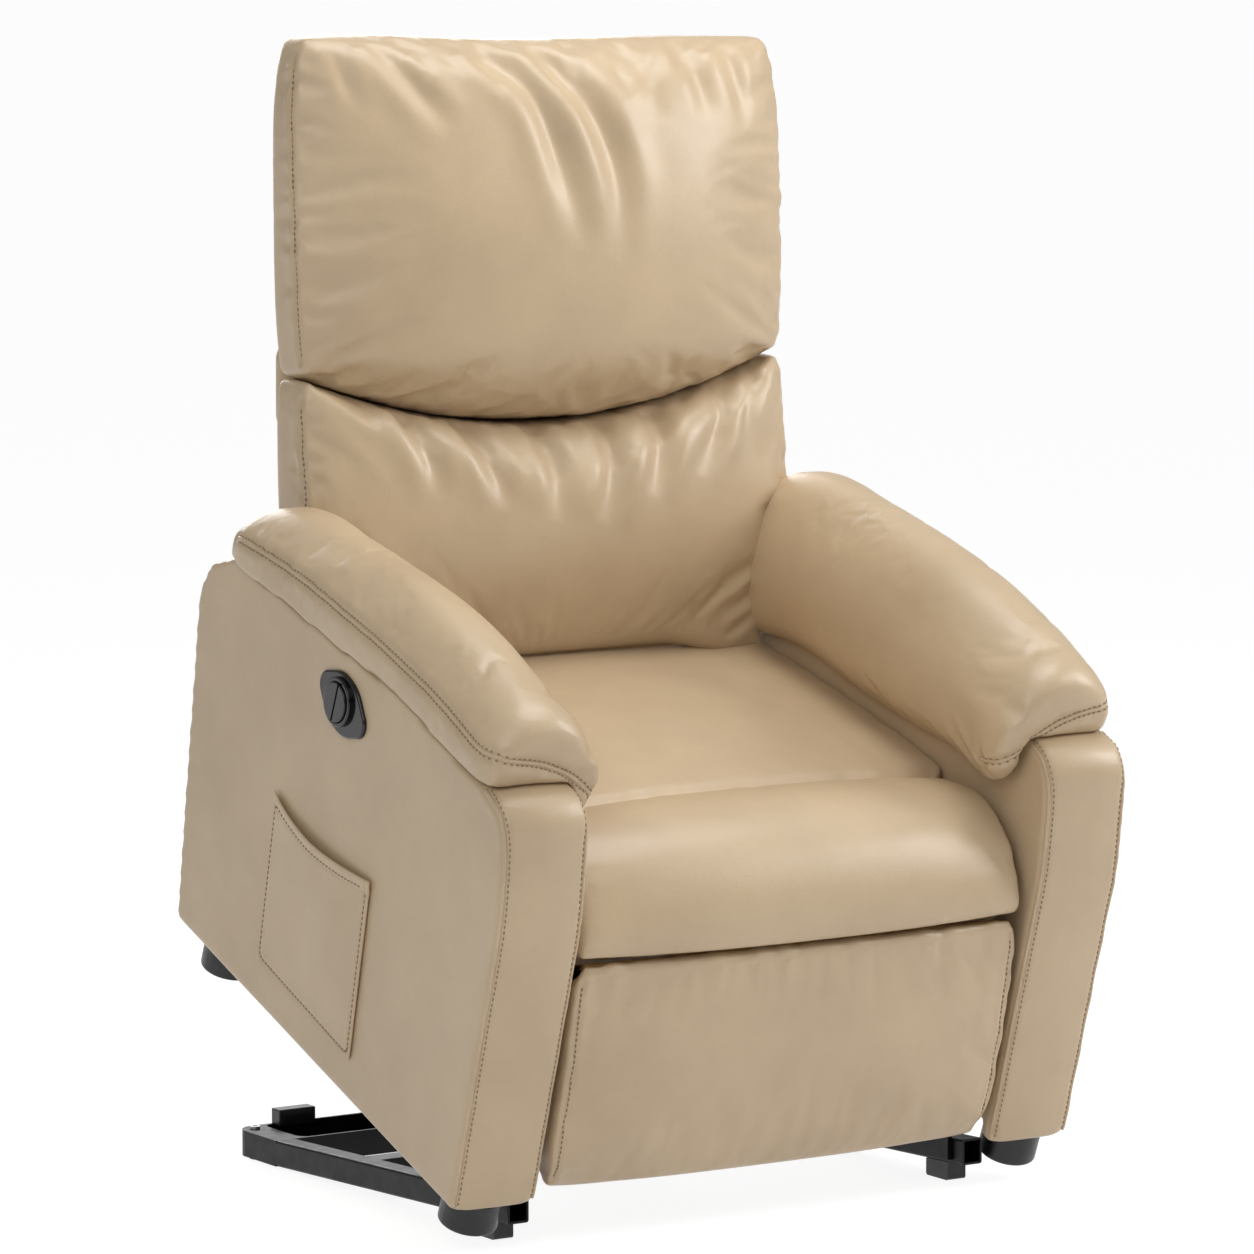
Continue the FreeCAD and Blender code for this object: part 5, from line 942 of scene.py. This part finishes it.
def front_share(flat):
    """How much each point of a back cushion belongs to its front face, 0 to 1."""
    return smoothstep(40.0, 62.0, flat[:, 2]) * (np.abs(flat[:, 0]) < FRONT_HALF_WIDTH)


def side_swell(low, high, height, foot=1.2, head=1.2):
    """Both sides stand out between two heights along the back and draw in at its foot and head."""
    def shift(flat):
        x, up, _ = flat.T
        share = np.clip((up - low) / (high - low), 0.0, 1.0)
        draw = np.where(share < 0.5, foot, head)
        rise = height * (1.0 - draw * np.abs(2.0 * share - 1.0) ** 4)
        return moves(x=rise * smoothstep(200.0, 290.0, np.abs(x)) * np.sign(x))
    return shift


def corner_lift(flat):
    """The headrest's top rises a little towards the sitter's right."""
    return moves(y=CORNER_LIFT * within((flat[:, 0], 20.0, -280.0), (flat[:, 1], 500.0, 650.0)))


def wing_zone(flat):
    """Where the lumbar cushion's wings pass behind the arm pads."""
    x, up, out = np.abs(flat[:, 0]), flat[:, 1], flat[:, 2]
    return within((x, 212.0, 236.0), (x, 286.0, 276.0), (up, 176.0, 196.0), (up, 320.0, 290.0),
                  (out, 20.0, 34.0))


def lumbar_reach(flat):
    """The wings reach down behind the arm pads and the foot spreads out to the arms."""
    x, up, out = np.abs(flat[:, 0]), flat[:, 1], flat[:, 2]
    foot = FOOT_SPREAD * within((x, 206.0, 244.0), (up, 66.0, 36.0))
    wing = WING_SPREAD * within((x, 200.0, 244.0), (x, 292.0, 246.0), (up, 236.0, 200.0), (out, 0.0, 30.0))
    drop = WING_DROP * within((x, 236.0, 252.0), (up, 230.0, 204.0))
    drop += FOOT_DROP * within((x, 140.0, 236.0), (up, 80.0, 44.0))
    cut = WING_CUT + (up - WING_LOW) * WING_CUT_SLOPE
    front = WING_FRONT - WING_FRONT_SLOPE * (up - WING_LOW) - WING_FRONT_TURN * smoothstep(266.0, 300.0, x)
    fill = np.clip(front - out, 0.0, WING_FILL)
    fill = fill * within((x, 238.0, 243.0), (out, cut - 16.0, cut - 4.0), (up, 180.0, 194.0))
    return moves(np.sign(flat[:, 0]) * np.maximum(foot, wing), -drop, fill)


def back_cushion(cover, part, edge, folds, cap, slack, puckers, depth):
    """Filling, folds, sewn side edges and stitches; puckers are (reach, height, pitch, seed)."""
    edges = [back_line(sided(edge, side)) for side in (-1, 1)]

    def hold(co):
        """Sewn down towards the back board, along both edges and at the foot of the back."""
        _, up, out = local(BACK, co).T
        away = np.minimum(near_line(co, edges[0])[0], near_line(co, edges[1])[0])
        return np.maximum.reduce([
            smoothstep(34.0, 16.0, out), 0.9 * bell(away, 10.0), smoothstep(60.0, 34.0, up),
        ])

    inflate(cover, hold, pressure=4.0, cap=cap, slack=slack)
    refined(cover)
    for path, fold_width, fold_depth in folds:
        fold(cover, BACK, path, fold_width, fold_depth, front_share)
    laid = [on_surface(cover, line) for line in edges]
    reach, height, pitch, seed = puckers
    for number, line in enumerate(laid):
        gathers(cover, line, reach, height, pitch, seed + number)
        groove(cover, line, width=2.6, depth=depth)
    settle(cover, "back", [part + "_cushion"])
    stitches(part + "_seams", cover, laid, "back")


def headrest():
    """Upper back cushion: deep folds drawn from its top edge, side gussets behind sewn edges."""
    cover = even_quads(joined("headrest_cover", ["headrest_cushion"]), BACK, voxel=6.0, rounds=5)
    bulge(cover, BACK, side_swell(350.0, 690.0, 12.0, foot=0.5, head=2.0))
    bulge(cover, BACK, corner_lift)
    back_cushion(cover, "headrest", HEADREST_EDGE, HEADREST_FOLDS, cap=16.0, slack=0.014,
                 puckers=(24.0, 2.2, 34.0, 81), depth=3.2)


def lumbar():
    """Lower back cushion with creases that fan down from the smile-shaped valley."""
    cover = even_quads(joined("lumbar_cover", ["lumbar_cushion"]), BACK, voxel=6.0, rounds=5)
    bulge(cover, BACK, side_swell(170.0, 350.0, 10.0))
    bulge(cover, BACK, lumbar_reach)
    relax_zone(cover, BACK, wing_zone, rounds=40)
    back_cushion(cover, "lumbar", LUMBAR_EDGE, LUMBAR_FOLDS, cap=12.0, slack=0.016,
                 puckers=(20.0, 1.6, 30.0, 91), depth=3.0)


# Rear of the back

REAR_SWELL = 9.0
REAR_SEAM_UP = 250.0
REAR_SEAM_OUT = -44.0


def rear_swell(flat):
    """Above the arms the rear cover stands out sideways as far as the two cushions do."""
    x, up, _ = flat.T
    out = REAR_SWELL * within((np.abs(x), 225.0, 246.0), (up, 262.0, 292.0), (up, 378.0, 350.0))
    return moves(x=np.sign(x) * out)


def rear_cover():
    """Leather rear of the back over its board, with a sewn panel line across."""
    nodes = ["back_rear_cover", "back_board"]
    cover = refined(even_quads(joined("back_rear_leather", nodes), BACK, voxel=6.0))
    ripple(cover, height=1.0, size=170.0, seed=5)
    bulge(cover, BACK, rear_swell)
    across = on_surface(cover, back_line([(x, REAR_SEAM_UP, REAR_SEAM_OUT) for x in range(-262, 263, 40)]))
    gathers(cover, across, reach=26.0, height=0.9, pitch=44.0, seed=95)
    groove(cover, across, width=2.6, depth=3.0)
    settle(cover, "back", nodes)
    stitches("rear_seam", cover, [across], "back", side=SEAM_ROW)


# Pocket

# (y, z) of the pocket's corners on the arm's outer side
POCKET_REAR_TOP = (452.0, 236.0)
POCKET_FRONT_TOP = (249.0, 240.0)
POCKET_FRONT_LOW = (220.0, 45.0)
POCKET_REAR_LOW = (424.0, 51.0)
POCKET_X = 381.4
POCKET_SAG = 14.0
POCKET_OPEN = 5.0
POCKET_BELLY = 1.6
POCKET_SKIN = 2.2
POCKET_HEM = 10.0
POCKET_HEM_RISE = 0.9
POCKET_HEM_DIP = 1.3
POCKET_STEP = 3.0
POCKET_CLEAR = 8.0
# As shares of the pocket's width and height: the seam's distance from its edge and its points
POCKET_SEAM_IN = 0.025
POCKET_SEAM_UP = (0.03, 0.1, 0.4, 0.7, 0.96)
POCKET_SEAM_ACROSS = (0.1, 0.4, 0.7, 0.96)
POCKET_MOUTH_ACROSS = (0.02, 0.2, 0.4, 0.6, 0.8, 0.98)


def pocket_place(u, v):
    """(y, z) of the pocket in the chair's axes: u from its rear edge to its front, v from low to mouth."""
    low = np.array(POCKET_REAR_LOW) * (1 - u) + np.array(POCKET_FRONT_LOW) * u
    top = np.array(POCKET_REAR_TOP) * (1 - u) + np.array(POCKET_FRONT_TOP) * u
    top = top - np.array((0.0, POCKET_SAG * math.sin(math.pi * u ** 0.8)))
    return low * (1 - v) + top * v


def pocket_stand(u, v, height):
    """How far the pocket's cover stands off the arm, and its hem."""
    wave = 0.7 * math.sin(9.0 * u + 3.0 * v) + 0.5 * math.sin(17.0 * u - 6.0 * v)
    open_mouth = POCKET_OPEN * v ** 2 + POCKET_BELLY * math.sin(math.pi * v)
    stand = math.sin(math.pi * u) ** 0.7 * (open_mouth + wave * math.sin(math.pi * v * 0.9))
    from_mouth = (1 - v) * height
    hem = POCKET_HEM_RISE * float(smoothstep(POCKET_HEM + 3.0, POCKET_HEM, from_mouth))
    hem -= POCKET_HEM_DIP * float(bell(from_mouth - POCKET_HEM - 1.0, 2.0))
    return stand + hem


def pocket():
    """Flat leather pocket on the sitter's right side, sagging at its hemmed mouth."""
    height = POCKET_REAR_TOP[1] - POCKET_REAR_LOW[1]
    across = int((POCKET_REAR_TOP[0] - POCKET_FRONT_TOP[0]) / POCKET_STEP)
    up = int(height / POCKET_STEP)
    vertices, faces = [], []
    for j in range(up + 1):
        for i in range(across + 1):
            u, v = i / across, j / up
            y, z = pocket_place(u, v)
            vertices.append(point(CHAIR, -POCKET_X - pocket_stand(u, v, height), y, z))
            if i and j:
                a = j * (across + 1) + i
                faces.append((a, a - 1, a - across - 2, a - across - 1))
    piece = mesh_from("pocket_leather", vertices, faces)
    skin = piece.modifiers.new("Leather thickness", "SOLIDIFY")
    skin.thickness = POCKET_SKIN * MM
    skin.offset = 1.0
    bake_modifiers(piece)
    refined(piece)
    edge = [(POCKET_SEAM_IN, v) for v in reversed(POCKET_SEAM_UP)]
    edge += [(u, POCKET_SEAM_IN) for u in POCKET_SEAM_ACROSS]
    edge += [(1.0 - POCKET_SEAM_IN, v) for v in POCKET_SEAM_UP]
    mouth = [(u, 1.0 - (POCKET_HEM + 1.0) / height) for u in POCKET_MOUTH_ACROSS]
    rows = []
    for path in (edge, mouth):
        places = [pocket_place(u, v) for u, v in path]
        rows.append(on_surface(piece, chair_line([(-POCKET_X - POCKET_CLEAR, y, z) for y, z in places])))
    groove(piece, rows[0], width=1.8, depth=1.0)
    settle(piece, "seat_unit", ["side_pocket"])
    shade_smooth(piece)
    stitches("pocket_seams", piece, rows, "seat_unit")


# Stage, lights and camera, in metres and watts

FLOOR_SIZE = 60.0
BACKDROP_GLOW = 1.24
BACKDROP_SHARE = 0.72
WORLD_STRENGTH = 0.34
# Name, place, aim, width and height, power
LIGHTS = (
    ("Key", (2.5, -1.4, 2.0), (0.0, 0.0, 0.65), (0.9, 1.5), 44.0),
    ("Fill", (-2.4, -1.9, 2.5), (0.0, 0.0, 0.5), (1.8, 2.2), 31.0),
    ("Top", (0.5, -0.3, 3.0), (0.0, 0.0, 0.6), (1.5, 1.5), 36.0),
    ("Rear", (0.8, 3.0, 1.8), (0.0, 0.0, 0.6), (2.0, 1.6), 40.0),
)
CAMERA_TARGET = Vector((0.0, 0.041, 0.5))
CAMERA_TURN = math.radians(32.71)
CAMERA_RISE = math.radians(7.88)
CAMERA_DISTANCE = 7.939
# The sensor is in millimetres, the rest in the photograph's pixels
SENSOR = 36.0
FOCAL_PIXELS = 7535.0
IMAGE_SIDE = 1254.0
PRINCIPAL_POINT = (619.0, 707.0)


def backdrop_material():
    """Near white to the camera with the object's shadow kept, plain pale to everything else."""
    n = Nodes("Pale backdrop")
    n.set(color=(0.86, 0.86, 0.86, 1.0), roughness=0.9, specular=0.1)
    rays = n.add("LightPath").outputs
    seen = n.math("MAXIMUM", rays["Is Camera Ray"], rays["Is Glossy Ray"])
    seen = n.math("MAXIMUM", seen, rays["Is Transmission Ray"])
    glow = n.add("Emission", {"Color": WHITE, "Strength": BACKDROP_GLOW})
    share = n.math("MULTIPLY", seen, BACKDROP_SHARE)
    mixed = n.add("MixShader", {0: share, 1: n.shader.outputs[0], 2: glow.outputs[0]})
    n.feed(n.tree.nodes["Material Output"].inputs["Surface"], mixed.outputs[0])
    return n.material


def stage():
    """Plain pale floor that reaches out of sight."""
    half = FLOOR_SIZE / 2
    floor = mesh_from("Floor", [(-half, -half, 0), (half, -half, 0), (half, half, 0), (-half, half, 0)],
                      [(0, 1, 2, 3)])
    floor.data.materials.append(backdrop_material())


def look_along(obj, way):
    """Turn a light or a camera to look along the way."""
    obj.rotation_mode = "QUATERNION"
    obj.rotation_quaternion = way.to_track_quat("-Z", "Y")


def area_light(name, place, aim, size, power):
    """Soft rectangular light at a place, turned to its aim."""
    data = bpy.data.lights.new(name, "AREA")
    data.shape = "RECTANGLE"
    data.size, data.size_y = size
    data.energy = power
    lamp = new_piece(name, data)
    lamp.location = place
    look_along(lamp, Vector(aim) - Vector(place))


def world_light():
    """White world, full to the camera and dimmer as light on the object."""
    world = bpy.data.worlds.new("Studio")
    bpy.context.scene.world = world
    world.use_nodes = True
    tree = world.node_tree
    background = tree.nodes["Background"]
    background.inputs["Color"].default_value = WHITE
    rays = tree.nodes.new("ShaderNodeLightPath")
    strength = tree.nodes.new("ShaderNodeMapRange")
    tree.links.new(rays.outputs["Is Camera Ray"], strength.inputs["Value"])
    strength.inputs["To Min"].default_value = WORLD_STRENGTH
    strength.inputs["To Max"].default_value = 1.0
    tree.links.new(strength.outputs[0], background.inputs["Strength"])


def lights():
    """The studio's world and its four area lights."""
    world_light()
    for row in LIGHTS:
        area_light(*row)


def camera():
    """Camera at the photograph's angle, with its focal length and principal point."""
    data = bpy.data.cameras.new("Camera")
    obj = new_piece("Camera", data)
    away = Vector((
        -math.sin(CAMERA_TURN) * math.cos(CAMERA_RISE), -math.cos(CAMERA_TURN) * math.cos(CAMERA_RISE),
        math.sin(CAMERA_RISE)))
    obj.location = CAMERA_TARGET + away * CAMERA_DISTANCE
    look_along(obj, -away)
    data.sensor_width = SENSOR
    data.lens = FOCAL_PIXELS / IMAGE_SIDE * SENSOR
    data.shift_x = (IMAGE_SIDE / 2 - PRINCIPAL_POINT[0]) / IMAGE_SIDE
    data.shift_y = (PRINCIPAL_POINT[1] - IMAGE_SIDE / 2) / IMAGE_SIDE
    data.clip_start = 0.5
    data.clip_end = 50.0
    bpy.context.scene.camera = obj


for arm_side, arm_tag in ((-1, "right"), (1, "left")):
    arm_body(arm_side, arm_tag)
    arm_pad(arm_side, arm_tag)
seat()
footrest()
headrest()
lumbar()
rear_cover()
pocket()
dress_rigid_nodes()
stage()
lights()
camera()
bpy.context.scene.view_settings.view_transform = "Standard"
